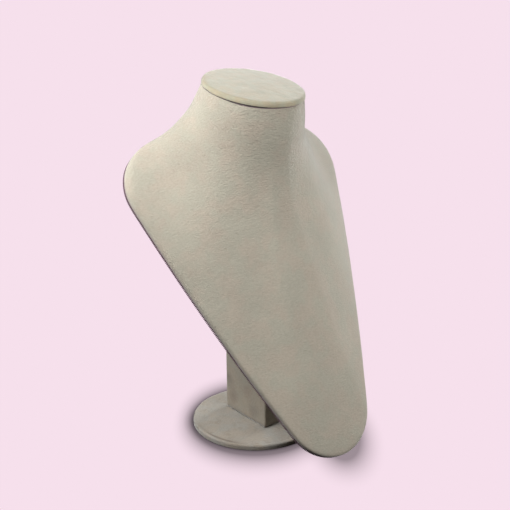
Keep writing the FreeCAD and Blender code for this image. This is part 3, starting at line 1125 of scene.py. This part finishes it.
@dataclass
class FrontCover:
    """Suede over the chest, the shoulders and the neck, turned in behind the rim.

    The reveal is the gap under the cap, and it grows by the reveal's play on one side. The rows
    crowd together at both ends. Pull is how tautly the suede is drawn over the neck.
    """

    form: BustForm = field(default_factory=BustForm)
    cut: Cut = Cut(0.36, 0.36, 0.082, "bust_shell")
    suede: float = SUEDE
    hem: float = 10.0
    reveal: float = 0.25
    reveal_play: float = 0.75
    reveal_focus: int = 5
    reveal_wave: float = 40.0
    reveal_unevenness: float = 0.5
    widest_at: float = -38.0
    around: int = 528
    rows: int = 120
    inner_rows: int = 36
    fine_rows: int = 1500
    top_rows: int = 60
    rim_rows: int = 120
    stops: int = 400
    crowding: float = 4.0
    crowding_reach: float = 8.0
    lip_angles: tuple = (150, 120, 90, 60, 30)
    drape: float = 0.10
    drape_wave: float = 38.0
    fine_drape: float = 0.4
    fine_drape_wave: float = 14.0
    pucker: float = 0.34
    pucker_wave: float = 7.0
    pucker_reach: float = 5.0
    pucker_length: float = 0.35
    crease: float = 0.9
    crease_wave: float = 4.5
    crease_drop: float = 5.0
    crease_width: float = 4.0
    crease_length: float = 0.22
    # Painted shade on the rim's side wall: how dark it is, the height over the back plane where it is full,
    # and where it fades out.
    rim_shade_depth: float = 0.72
    rim_shade_full: float = 3.0
    rim_shade_height: float = 5.6
    # Height over the back plane below which the dark edge suede, painted shade, covers the rim.
    shade_edge_height: float = 3.0
    pull: float = 1.1
    pull_length: float = 112.0

    def skin(self) -> Points:
        """Draws the outside of the cover on its form.

        Returns:
            Rings of points, from under the cap to the rim's rear edge.
        """
        cage = self.form.cage()
        fine = np.einsum("mk,knd->mnd", open_weights(len(cage), self.fine_rows), cage)
        fine = np.einsum("pn,mnd->mpd", round_weights(cage.shape[1], self.around), fine)
        rings = np.empty((self.rows, self.around, 3))
        round_neck = unit(fine[0] - fine[0].mean(axis=0))
        facing = np.clip(round_neck @ self.widest(), 0, 1) ** self.reveal_focus
        uneven = 1 + self.reveal_unevenness * ripples(
            round_neck * self.form.neck_radius, self.reveal_wave, Wave.REVEAL)
        reveals = self.reveal + self.reveal_play * facing * uneven
        for place in range(self.around):
            column = fine[:, place]
            run = np.concatenate([[0], np.cumsum(np.linalg.norm(np.diff(column, axis=0), axis=1))])
            drop = self.form.neck_drop(column[:self.top_rows])
            start = np.interp(reveals[place], drop, run[:self.top_rows])
            end = np.interp(-self.suede, -column[-self.rim_rows:, 2], run[-self.rim_rows:])
            inside = np.linspace(start, end, self.stops)
            close = (1 + self.crowding * np.exp((start - inside) / self.crowding_reach)
                     + self.crowding * np.exp((inside - end) / self.crowding_reach))
            share = np.concatenate([[0], np.cumsum((close[1:] + close[:-1]) / 2)])
            stops = np.interp(np.linspace(0, share[-1], self.rows), share, inside)
            rings[:, place] = np.stack([np.interp(stops, run, column[:, k]) for k in range(3)], axis=1)
        return rings

    def widest(self) -> Points:
        """Direction from the neck's axis to where its gap under the cap is widest."""
        turn = math.radians(self.widest_at)
        return np.array([math.sin(turn), 0.0, 0.0]) + self.form.forward * math.cos(turn)

    def relief(self, skin: Points) -> Points:
        """Works out the drape of the cover and its puckers and creases under the cap.

        Args:
            skin: Rings of points on the form.

        Returns:
            How far the suede stands off the form at each point.
        """
        drop = self.form.neck_drop(skin)
        spot = skin - self.form.neck_top
        angle = np.arctan2(spot[..., 0], spot @ self.form.forward)
        wrapped = np.stack([np.cos(angle), np.sin(angle)], axis=-1) * self.form.neck_radius
        lengthways = np.concatenate([wrapped, drop[..., None] * self.pucker_length], axis=-1)
        crosswise = np.concatenate([wrapped * self.crease_length, drop[..., None]], axis=-1)
        near_cap = np.exp(-drop / self.pucker_reach)
        below_cap = hump(drop - self.crease_drop, self.crease_width)
        return (self.drape * ripples(skin, self.drape_wave, Wave.DRAPE)
                + self.fine_drape * self.drape * ripples(skin, self.fine_drape_wave, Wave.FINE_DRAPE)
                + self.pucker * near_cap * ripples(lengthways, self.pucker_wave, Wave.PUCKER)
                + self.crease * self.pucker * below_cap * ripples(crosswise, self.crease_wave, Wave.CREASE))

    def build(self, material: Material, edge: Material) -> Object:
        """Builds the cover as one closed sheet and sets it in place.

        Args:
            material: The suede of its face.
            edge: Dark suede without sheen for its turned and cut edges, the rim's side wall and the lip
                under the cap: painted shade.

        Returns:
            The cover.
        """
        skin = self.skin()
        skin += grid_normals(skin) * self.relief(skin)[..., None]
        normals = grid_normals(skin)
        inner_places = np.linspace(self.rows - 1, 0, self.inner_rows).round().astype(int)
        inner = (skin - normals * self.suede)[inner_places]
        rolled = self.form.rim(self.hem, self.around)
        hem_rear, hem_front = rolled + [0, 0, self.suede], rolled + [0, 0, 2 * self.suede]
        inner[:, :, 2] = np.maximum(inner[:, :, 2], 2 * self.suede)
        up = unit(skin[0] - skin[2])
        middle = skin[0] - normals[0] * self.suede / 2 - up * self.suede / 2
        lip = [middle + (normals[0] * math.cos(a) + up * math.sin(a)) * self.suede / 2
               for a in np.radians(self.lip_angles)]
        outer = skin.copy()
        outer[0] -= up * self.suede / 2
        rings = np.concatenate([outer, hem_rear[None], hem_front[None], inner, np.array(lip)])
        mesh = ring_mesh(self.form.placed(rings))
        # Painted shade: the suede darkens towards the back plane along the rim's side wall.
        darkening = (self.rim_shade_height - rings[..., 2]) / (self.rim_shade_height - self.rim_shade_full)
        keep_values(mesh, "soil_and_shade", self.rim_shade_depth * np.clip(darkening, 0, 1))
        keep_values(mesh, "taut", np.clip(self.pull - self.form.neck_drop(rings) / self.pull_length, 0, 1))
        # Faces below that height, and the hem, the inside and the lip, take the dark edge suede: painted
        # shade on the rim's side wall and in the gap under the cap.
        turned = rings[..., 2] < self.shade_edge_height
        turned[self.rows:] = True
        keep_values(mesh, "edge", turned, kind="INT", domain="FACE")
        return finished(mesh, "front_cover_suede", material, edge)


@dataclass
class BackCover:
    """Suede panel over the back, with a slot for the post, and the thread that joins it to the front."""

    form: BustForm = field(default_factory=BustForm)
    cut: Cut = Cut(0.246, 0.341, 0.0535, "back_board")
    suede: float = SUEDE
    margin: float = 0.6
    around: int = 440
    rows: int = 60
    drape: float = 0.12
    drape_wave: float = 42.0
    flat_edge: float = 12.0
    play: float = 0.3
    pitch: float = 1.5
    thread: float = 0.45
    thread_steps: int = 8
    thread_sides: int = 5
    thread_line: int = 1760
    reach: float = 1.15
    inset: float = 1.7

    def slot(self) -> tuple[Points, Points]:
        """Works out the slot in the back plane from the post's own box.

        Returns:
            Its lowest and highest corner.
        """
        low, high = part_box("post_board")
        slope = math.sin(math.radians(self.form.lean))
        ends = [(y / MM - self.form.tip[0]) / slope for y in (low.y, high.y)]
        half = high.x / MM + self.play
        return np.array([-half, ends[0] - self.play]), np.array([half, ends[1] + self.play])

    def build(self, material: Material) -> Object:
        """Builds the panel as one closed sheet and sets it in place.

        Args:
            material: Its suede.

        Returns:
            The panel.
        """
        rim = self.form.rim(self.form.rim_tuck + self.margin, self.around)[:, :2]
        low, high = self.slot()
        centre = (low + high) / 2
        ray = rim - centre
        to_wall = ((high - low) / 2 / np.maximum(np.abs(ray), 1e-6)).min(axis=1)
        hole = centre + ray * to_wall[:, None]
        share = np.linspace(0, 1, self.rows)[:, None, None]
        flat = hole + (rim - hole) * share
        edge = np.minimum(share[..., 0], 1 - share[..., 0])
        wave = self.drape * ripples(flat, self.drape_wave, Wave.BACK) * np.minimum(edge * self.flat_edge, 1)
        rear = np.concatenate([flat, wave[..., None]], axis=-1)
        front = np.concatenate([flat, np.full((*flat.shape[:2], 1), self.suede)], axis=-1)
        rings = np.concatenate([rear, front[::-1]])
        return finished(ring_mesh(self.form.placed(rings)), "back_cover_suede", material)

    def stitches(self, tree: ModifierTree, material: Material) -> Object:
        """Winds the overcast thread round the joint of the two covers.

        Args:
            tree: The tree that winds a thread.
            material: The thread's finish.

        Returns:
            The thread.
        """
        path = self.form.rim(self.inset, self.thread_line) + [0, 0, self.suede]
        along = unit(np.roll(path, -1, axis=0) - np.roll(path, 1, axis=0))
        outward = np.cross(along, [0.0, 0.0, 1.0])
        matrix = np.array(self.form.to_table())[:3, :3] / MM
        length = np.linalg.norm(np.roll(path, -1, axis=0) - path, axis=1).sum()
        line = line_mesh(self.form.placed(path) / MM, outward @ matrix.T)
        mesh = tree.run(line, {
            "Turns": round(length / self.pitch), "Reach": self.reach * MM, "Thread": self.thread * MM,
            "Steps": self.thread_steps, "Sides": self.thread_sides, "Rearward": (-matrix[:, 2]).tolist(),
            "Material": material})
        return finished(mesh, "rim_stitches", material)


# ---------------------------------------------------------------- round suede discs


@dataclass
class WrappedDisc:
    """A round board's suede: over the top and the edge, and turned in underneath.

    It may have a soft fold in its top beside the edge, between two angles in degrees, with a
    bulge outside it and painted shade along its line.
    """

    name: str
    cut: Cut
    radius: float
    height: float
    hem: float
    rounding: float
    ripple: float
    ripple_size: float
    seed: float
    crown: float = 0.0
    suede: float = SUEDE
    lower_rounding: float = 0.6
    spacing: float = 2.0
    segments: int = 220
    fold: float = 0.0
    fold_inset: float = 4.0
    fold_from: float = -202.0
    fold_to: float = -132.0
    fold_fade: float = 25.0
    fold_play: float = 0.5
    fold_wave: float = 24.0
    fold_width: float = 0.9
    bulge: float = 0.5
    bulge_offset: float = 2.4
    bulge_width: float = 1.2
    # How dark the painted shade along the fold is, and how wide.
    soil_and_shade: float = 0.9
    fold_shade_width: float = 0.8

    def section(self) -> Points:
        """Draws the section of the sheet.

        Returns:
            Points from the top's centre round the hem and back inside.
        """
        inner = self.radius - self.suede
        roof = self.height - self.suede
        hem = self.radius - self.hem
        corners = [
            (0.0, self.height, 0.0), (self.radius, self.height, self.rounding),
            (self.radius, 0.0, self.suede * self.lower_rounding), (hem, 0.0, 0.0), (hem, self.suede, 0.0),
            (inner, self.suede, 0.0), (inner, roof, 0.0), (0.0, roof, 0.0)]
        line = rounded_path(corners, self.spacing)
        crown = self.crown * (1 - (line[:, 0] / self.radius) ** 2)
        line[:, 1] += np.where(line[:, 1] > self.height / 2, crown, 0)
        return np.column_stack([line[:, 0], np.zeros(len(line)), line[:, 1]])

    def build(self, tree: ModifierTree, material: Material, place: Matrix) -> Object:
        """Spins the section and sets the disc in place.

        Args:
            tree: The tree that spins a section.
            material: The disc's suede.
            place: Where the middle of its underside is, and how it is turned, in metres.

        Returns:
            The disc.
        """
        mesh = tree.run(line_mesh(self.section()), {
            "Segments": self.segments, "Ripple": self.ripple * MM, "Ripple Size": self.ripple_size * MM,
            "Seed": self.seed, "Material": material})
        if self.fold:
            self.press_fold(mesh)
        mesh.transform(place)
        return finished(mesh, self.name, material)

    def press_fold(self, mesh: Mesh) -> None:
        """Presses the fold into the disc's mesh.

        Args:
            mesh: The mesh, flat at the origin.
        """
        points = np.empty(len(mesh.vertices) * 3, dtype=np.float32)
        mesh.vertices.foreach_get("co", points)
        points = points.reshape(-1, 3).astype(float) / MM
        out = np.hypot(points[:, 0], points[:, 1])
        angle = np.degrees(np.arctan2(points[:, 1], points[:, 0])) % 360 - 360
        ends = np.clip(np.minimum(angle - self.fold_from, self.fold_to - angle) / self.fold_fade, 0, 1)
        wander = self.fold_play * ripples(points[:, :2], self.fold_wave, Wave.FOLD)
        line = self.radius - self.fold_inset + wander
        depth = self.fold * ends * hump(out - line, self.fold_width)
        bulge = self.bulge * self.fold * ends * hump(out - line - self.bulge_offset, self.bulge_width)
        top = points[:, 2] > self.height / 2
        points[:, 2] += np.where(top, bulge - depth, 0)
        mesh.vertices.foreach_set("co", (points * MM).astype(np.float32).ravel())
        # Painted shade along the fold's line.
        keep_values(mesh, "soil_and_shade", np.where(top, self.soil_and_shade * ends * hump(out - line, self.fold_shade_width), 0))


# ---------------------------------------------------------------- the post


@dataclass
class PostCover:
    """Suede sleeve round the post board, cut to the slope of the back.

    Glue has darkened its foot, painted shade darkens it under the bust with random blotches over it, and its
    seam is behind.
    """

    form: BustForm = field(default_factory=BustForm)
    cut: Cut = Cut(0.168, 0.249, 0.0335, "post_board")
    suede: float = SUEDE
    glue: float = GLUE
    rounding: float = 1.6
    spacing: float = 1.2
    rows: int = 70
    inner_rows: int = 4
    drape: float = 0.14
    drape_wave: float = 30.0
    lift: float = 0.25
    seam: float = 0.4
    seam_width: float = 0.8
    seam_soil: float = 0.6
    glue_line: float = 1.2
    glue_reach: float = 1.4
    glue_play: float = 0.25
    glue_wave: float = 9.0
    # Painted shade under the bust's back plane, with random blotches over the sleeve: its strength and
    # reach, the blotches' play and size, the gain and the darkest share.
    shade_under_bust: float = 0.55
    shade_under_bust_reach: float = 45.0
    blotch_play: float = 0.25
    blotch_wave: float = 26.0
    shade_and_blotch_gain: float = 1.6
    shade_and_blotch_depth: float = 0.72

    def outline(self, grow: float) -> Points:
        """Draws the post's rounded outline from the post board's own box.

        Args:
            grow: How far outside the board it runs.

        Returns:
            Points round it, from the middle of its front.
        """
        low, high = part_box("post_board")
        half = np.array([high.x - low.x, high.y - low.y]) / 2 / MM + grow
        centre = np.array([high.x + low.x, high.y + low.y]) / 2 / MM
        radius = self.rounding - self.suede - self.glue + grow
        corners = [(0, -half[1], 0), (half[0], -half[1], radius), (half[0], half[1], radius),
                   (-half[0], half[1], radius), (-half[0], -half[1], radius), (0, -half[1], 0)]
        return rounded_path(corners, self.spacing)[:-1] + centre

    def build(self, material: Material) -> Object:
        """Builds the sleeve as one closed sheet and sets it in place.

        Args:
            material: Its suede.

        Returns:
            The sleeve.
        """
        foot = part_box("post_board")[0].z / MM + self.lift
        outer, inner = self.outline(self.suede + self.glue), self.outline(self.glue)
        setback = self.glue / math.cos(math.radians(self.form.lean))
        up, down = np.linspace(0, 1, self.rows), np.linspace(1, 0, self.inner_rows)
        rings = []
        for ring, shares in ((outer, up), (inner, down)):
            top = self.form.plane_height(ring[:, 1], setback)
            rings += [np.column_stack([ring, foot + (top - foot) * share]) for share in shares]
        wall = np.array(rings)
        middle = outer[:, 1].mean()
        swell = np.zeros(wall.shape[:2])
        swell[1:self.rows - 1] = ripples(wall[1:self.rows - 1], self.drape_wave, Wave.POST) * self.drape
        at_seam = np.where(wall[..., 1] > middle, hump(wall[..., 0], self.seam_width), 0)
        swell[:self.rows] -= self.seam * at_seam[:self.rows]
        wall[:, :, :2] += unit(wall[:, :, :2] - np.array([0.0, middle])) * swell[..., None]
        mesh = ring_mesh(wall * MM)
        uneven = 1 - self.glue_play + self.glue_play * ripples(wall, self.glue_wave, Wave.GLUE)
        glue = self.glue_line * np.exp(-(wall[..., 2] - foot) / self.glue_reach) * uneven
        # Painted shade: the sleeve darkens towards the bust's back plane above it, mottled by random
        # blotches.
        below_bust = self.form.plane_height(wall[..., 1]) - wall[..., 2]
        shade_and_blotch_mix = (self.shade_under_bust * hump(below_bust, self.shade_under_bust_reach)
                   + self.blotch_play * ripples(wall, self.blotch_wave, Wave.BLOTCH))
        shade_and_blotches = self.shade_and_blotch_depth * np.clip(shade_and_blotch_mix * self.shade_and_blotch_gain, 0, 1)
        darkening = np.maximum(np.maximum(glue, shade_and_blotches), self.seam_soil * at_seam)
        keep_values(mesh, "soil_and_shade", np.clip(darkening, 0, 1))
        return finished(mesh, "post_cover_suede", material)


# ---------------------------------------------------------------- the whole object


class Finishes:
    """Every material of the object, made once."""

    def __init__(self) -> None:
        """Builds the materials."""
        effects = Effects()
        leaning = (math.radians(BustForm().lean - 90), 0.0, 0.0)
        self.bust = Suede(name="bust_suede", turn=leaning).material(effects)
        # A dark copy of the bust's suede without sheen, for the rim's side wall and the lip under the cap:
        # painted shade.
        self.edge = Suede(
            name="painted_shade_edge_suede", warm=(134, 111, 118), cool=(126, 107, 114), turn=leaning, sheen=0.0,
            specular=0.0).material(effects)
        # The cap's suede is a darker, warmer copy of the bust's: partly its own warmer tone, partly painted
        # shade that tempers the light on its upward face.
        self.cap = Suede(
            name="cap_suede_painted_shade", warm=(165, 154, 131), cool=(160, 156, 136), grain=2.0, stretch=1.0, relief=0.2,
            fleck=0.22, patch=16.0, lightness=0.1, seed=2.0).material(effects)
        # The post's suede is a darker copy of the bust's: painted shade for the post, which stands under the
        # bust.
        self.post = Suede(
            name="post_suede_painted_shade", warm=(166, 154, 138), cool=(161, 154, 140), soil_and_shade=(84, 68, 56), marking=0.4,
            grain=1.8, stretch=1.0, seed=3.0).material(effects)
        self.base = Suede(
            name="base_suede", warm=(164, 154, 141), cool=(160, 156, 148), soil_and_shade=(92, 74, 64), marking=0.5,
            patch=30.0, lightness=0.16, grain=1.8, stretch=1.0, relief=0.4, seed=4.0).material(effects)
        self.thread = Suede(
            name="thread", warm=(128, 102, 112), cool=(118, 98, 108), grain=0.6, nap=0.2, marking=0.0,
            relief=0.1, sheen=0.0, specular=0.0, seed=5.0).material(effects)
        hardboard = Wood(name="hardboard", dark=(92, 62, 42), pale=(128, 92, 64), streak=0.9, stretch=2.0)
        timber = Wood(name="timber", dark=(168, 128, 84), pale=(208, 174, 128), streak=2.6, stretch=0.08,
                      turn=leaning)
        by_slot = {Slot.MOULDING: Moulding(), Slot.HARDBOARD: hardboard, Slot.TIMBER: timber,
                   Slot.STEEL: ZincSteel(), Slot.FELT: Felt()}
        self.by_slot = {slot: finish.material(effects) for slot, finish in by_slot.items()}


@dataclass
class NecklaceBust:
    """The whole bust: its covers, its thread and the CAD pieces that they hide."""

    form: BustForm = field(default_factory=BustForm)
    suede: float = SUEDE
    glue: float = GLUE
    overhang: float = 1.0

    def cap_place(self, height: float) -> Matrix:
        """Works out where the cap's suede goes, round the board on the neck.

        Args:
            height: The suede's own height.

        Returns:
            The place of the middle of its underside, in metres.
        """
        low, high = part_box("neck_cap_board")
        tilt = Matrix.Rotation(math.radians(self.form.neck_pitch - self.form.lean), 4, "X")
        return Matrix.Translation((low + high) / 2) @ tilt @ Matrix.Translation((0, 0, -height / 2 * MM))

    def base_disc(self) -> WrappedDisc:
        """Gives the suede round the base board the board's own radius.

        Returns:
            The disc.
        """
        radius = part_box("base_board")[1].x / MM + self.suede + self.glue
        return WrappedDisc(
            name="base_cover_suede", cut=Cut(0.154, 0.154, 0.0186, "base_board"), radius=radius, height=5.0,
            hem=9.0, rounding=1.7, ripple=0.6, ripple_size=18.0, seed=21.0, fold=0.6)

    def cap_disc(self) -> WrappedDisc:
        """Gives the suede round the board on the neck a little overhang over the neck."""
        return WrappedDisc(
            name="neck_cap_cover_suede", cut=Cut(0.125, 0.125, 0.0122, "neck_cap_board"),
            radius=self.form.neck_radius + self.overhang, height=4.3, hem=10.0, rounding=3.7, crown=1.1,
            ripple=0.75, ripple_size=12.0, seed=22.0)

    def keep(self, piece: Object) -> None:
        """Lets a piece ride on the body, and reports it.

        Args:
            piece: The piece.
        """
        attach(piece, BODY)
        LOG.info("%s: %d faces", piece.name, len(piece.data.polygons))

    def cover(self, piece: Object, node: str, cut: Cut) -> None:
        """Keeps a cloth piece in its CAD node's stead.

        Args:
            piece: The piece.
            node: The CAD node that it stands for.
            cut: The size that it was cut to; not used.
        """
        self.keep(piece)
        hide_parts(node)

    def dress_cad(self, finishes: Finishes) -> None:
        """Gives the CAD nodes that stay their finishes, by the record's slots.

        Args:
            finishes: The materials.
        """
        slots = {part["node"]: part["material_slot"] for part in frame["record"]["subparts"]}
        for name, node in frame["nodes"].items():
            slot = Slot(slots[name])
            if slot in finishes.by_slot:
                for holder in node.material_slots:
                    holder.material = finishes.by_slot[slot]
                LOG.info("%s: CAD node in %s", name, slot.value)

    def build(self, finishes: Finishes) -> None:
        """Builds every visible piece in order.

        Args:
            finishes: The materials.
        """
        spun, overcast = spun_tree(), overcast_tree()
        front, back, post = FrontCover(self.form), BackCover(self.form), PostCover(self.form)
        base, cap = self.base_disc(), self.cap_disc()
        self.cover(front.build(finishes.bust, finishes.edge), "front_cover", front.cut)
        self.cover(back.build(finishes.bust), "back_cover", back.cut)
        self.keep(back.stitches(overcast, finishes.thread))
        self.cover(base.build(spun, finishes.base, Matrix.Identity(4)), "base_cover", base.cut)
        self.cover(cap.build(spun, finishes.cap, self.cap_place(cap.height)), "neck_cap_cover", cap.cut)
        self.cover(post.build(finishes.post), "post_cover", post.cut)
        self.dress_cad(finishes)


# ---------------------------------------------------------------- the studio


@dataclass(frozen=True)
class Lamp:
    """A soft round lamp that looks at the bust: where it stands in degrees, and how far off in metres."""

    name: str
    azimuth: float
    elevation: float
    watts: float
    distance: float = 0.95
    width: float = 0.35
    aim: Triple = (0.0, 0.0, 0.2)

    def build(self) -> Object:
        """Adds the lamp, turned towards the bust.

        Returns:
            The lamp.
        """
        data = bpy.data.lights.new(self.name, "AREA")
        data.shape = "DISK"
        data.size = self.width
        data.energy = self.watts
        lamp = into_scene(self.name, data)
        lamp.visible_camera = False
        turn, rise = math.radians(self.azimuth), math.radians(self.elevation)
        away = Vector((math.sin(turn) * math.cos(rise), -math.cos(turn) * math.cos(rise), math.sin(rise)))
        lamp.location = Vector(self.aim) + away * self.distance
        lamp.rotation_euler = (-away).to_track_quat("-Z", "Y").to_euler()
        return lamp


@dataclass(frozen=True)
class Pool:
    """A soft pool of shade on the floor, an ellipse whose depth runs away from the camera, in millimetres.

    Spread is how far the shade reaches past the ellipse, across the line of sight.
    """

    centre: tuple[float, float]
    half_width: float
    half_depth: float
    depth: float
    spread: float = 21.0
    fade: float = 2.0

    def share(self, graph: Graph, yaw: float, look_down: float) -> Socket:
        """Adds nodes that give the share of light left at each place of the floor.

        Args:
            graph: The floor material's graph.
            yaw: The camera's turn about Z, in degrees.
            look_down: How steeply the camera looks down at the floor there, in degrees.

        Returns:
            The share of light, 1 outside the pool.
        """
        flat = math.sin(math.radians(look_down))
        place = graph.node("ShaderNodeTexCoord").outputs["Object"]
        middle = (self.centre[0] * MM, self.centre[1] * MM, 0.0)
        from_middle = graph.vector("SUBTRACT", place, middle)
        turned = graph.out("ShaderNodeVectorRotate", {
            "Vector": from_middle, "Angle": -math.radians(yaw)}, rotation_type="Z_AXIS")
        seen = graph.vector("MULTIPLY", turned, (1.0, flat, 0.0))
        halves = Vector((self.half_width, self.half_depth * flat, 1.0)) * MM
        shrunk = graph.vector("DIVIDE", seen, halves)
        ratio = graph.length(shrunk)
        steep = graph.length(graph.vector("DIVIDE", shrunk, halves))
        excess = graph.math("MULTIPLY", graph.math("SUBTRACT", ratio, 1.0), ratio)
        beyond = graph.math("DIVIDE", excess, steep)
        outside = graph.math("MINIMUM", graph.math("MAXIMUM", beyond, 0.0), self.spread * MM)
        near = graph.math("SUBTRACT", 1.0, graph.math("DIVIDE", outside, self.spread * MM))
        shade = graph.math("MULTIPLY", graph.math("POWER", near, self.fade), self.depth)
        return graph.math("SUBTRACT", 1.0, shade)


@dataclass
class Studio:
    """Pale floor, soft light and the camera."""

    backdrop: Triple = (246, 224, 236)
    bounce: Triple = (50, 44, 45)
    ambient: float = 0.02
    lamps: tuple[Lamp, ...] = (
        Lamp("key", -35, 38, 1.95),
        Lamp("key_above", -62, 60, 0.5),
        Lamp("left_side", -108, 34, 2.2, 0.5),
        Lamp("left_high", -85, 45, 0.85, 0.5),
        Lamp("left_rear", -160, 15, 0.6, 0.5),
        Lamp("front_low", 20, 15, 1.35, 0.5),
        Lamp("overhead", 20, 80, 0.3, 0.5),
        Lamp("right_side", 95, 8, 4.5),
    )
    shadow_reach: float = 0.011
    shadow_gain: float = 1.5
    shadow_samples: int = 64
    pools: tuple[Pool, ...] = (
        Pool(centre=(1.0, 1.2), half_width=66.0, half_depth=74.0, depth=0.72),
        Pool(centre=(46.0, -76.0), half_width=19.0, half_depth=52.0, depth=0.64, spread=26.0),
    )
    yaw: float = -39.465
    pitch: float = 17.374
    roll: float = -0.203
    distance: float = 0.84872
    aim: Triple = (-0.000247, 0.000203, 0.176802)
    lens: float = 61.77
    look_down: float = 28.4
    floor_half: float = 6.0

    def floor(self) -> Object:
        """Adds the floor, whose unlit share shows the backdrop's colour.

        Returns:
            The floor.
        """
        half = self.floor_half
        mesh = bpy.data.meshes.new("floor")
        corners = [(-half, -half, 0), (half, -half, 0), (half, half, 0), (-half, half, 0)]
        mesh.from_pydata(corners, [], [(0, 1, 2, 3)])
        material = bpy.data.materials.new("floor")
        graph = Graph(emptied(material))
        near = graph.node(
            "ShaderNodeAmbientOcclusion", {"Distance": self.shadow_reach}, samples=self.shadow_samples)
        level = graph.math("POWER", near.outputs["AO"], self.shadow_gain)
        for pool in self.pools:
            level = graph.math("MULTIPLY", level, pool.share(graph, self.yaw, self.look_down))
        matt = graph.out("ShaderNodeBsdfDiffuse", {"Color": linear(self.bounce)})
        glow = graph.out("ShaderNodeEmission", {"Color": linear(self.backdrop), "Strength": level})
        graph.node("ShaderNodeOutputMaterial", {"Surface": graph.by_eye(glow, matt)})
        mesh.materials.append(material)
        floor = into_scene("floor", mesh)
        return floor

    def world(self) -> None:
        """Fills the surroundings with even light, and shows the backdrop's colour to the camera."""
        world = bpy.data.worlds.new("studio")
        bpy.context.scene.world = world
        graph = Graph(emptied(world))
        even = graph.out("ShaderNodeBackground", {"Color": (1, 1, 1, 1), "Strength": self.ambient})
        shown = graph.out("ShaderNodeBackground", {"Color": linear(self.backdrop), "Strength": 1.0})
        graph.node("ShaderNodeOutputWorld", {"Surface": graph.by_eye(shown, even)})

    def camera(self) -> Object:
        """Adds the camera and makes it the scene's own.

        Returns:
            The camera.
        """
        data = bpy.data.cameras.new("camera")
        data.lens = self.lens
        camera = into_scene("camera", data)
        turn = Euler((math.radians(90 - self.pitch), 0, math.radians(self.yaw))).to_matrix().to_4x4()
        back = turn.to_3x3() @ Vector((0, 0, 1))
        roll = Matrix.Rotation(math.radians(self.roll), 4, "Z")
        camera.matrix_world = Matrix.Translation(Vector(self.aim) + back * self.distance) @ turn @ roll
        bpy.context.scene.camera = camera
        return camera

    def build(self) -> None:
        """Sets up the whole studio."""
        bpy.context.scene.view_settings.view_transform = "Standard"
        self.world()
        self.floor()
        for lamp in self.lamps:
            lamp.build()
        self.camera()


def main() -> None:
    """Builds the bust and its studio."""
    logging.basicConfig(level=logging.INFO, format="%(name)s: %(message)s")
    Studio().build()
    NecklaceBust().build(Finishes())
    bpy.context.view_layer.update()


if __name__ == "__main__":
    main()
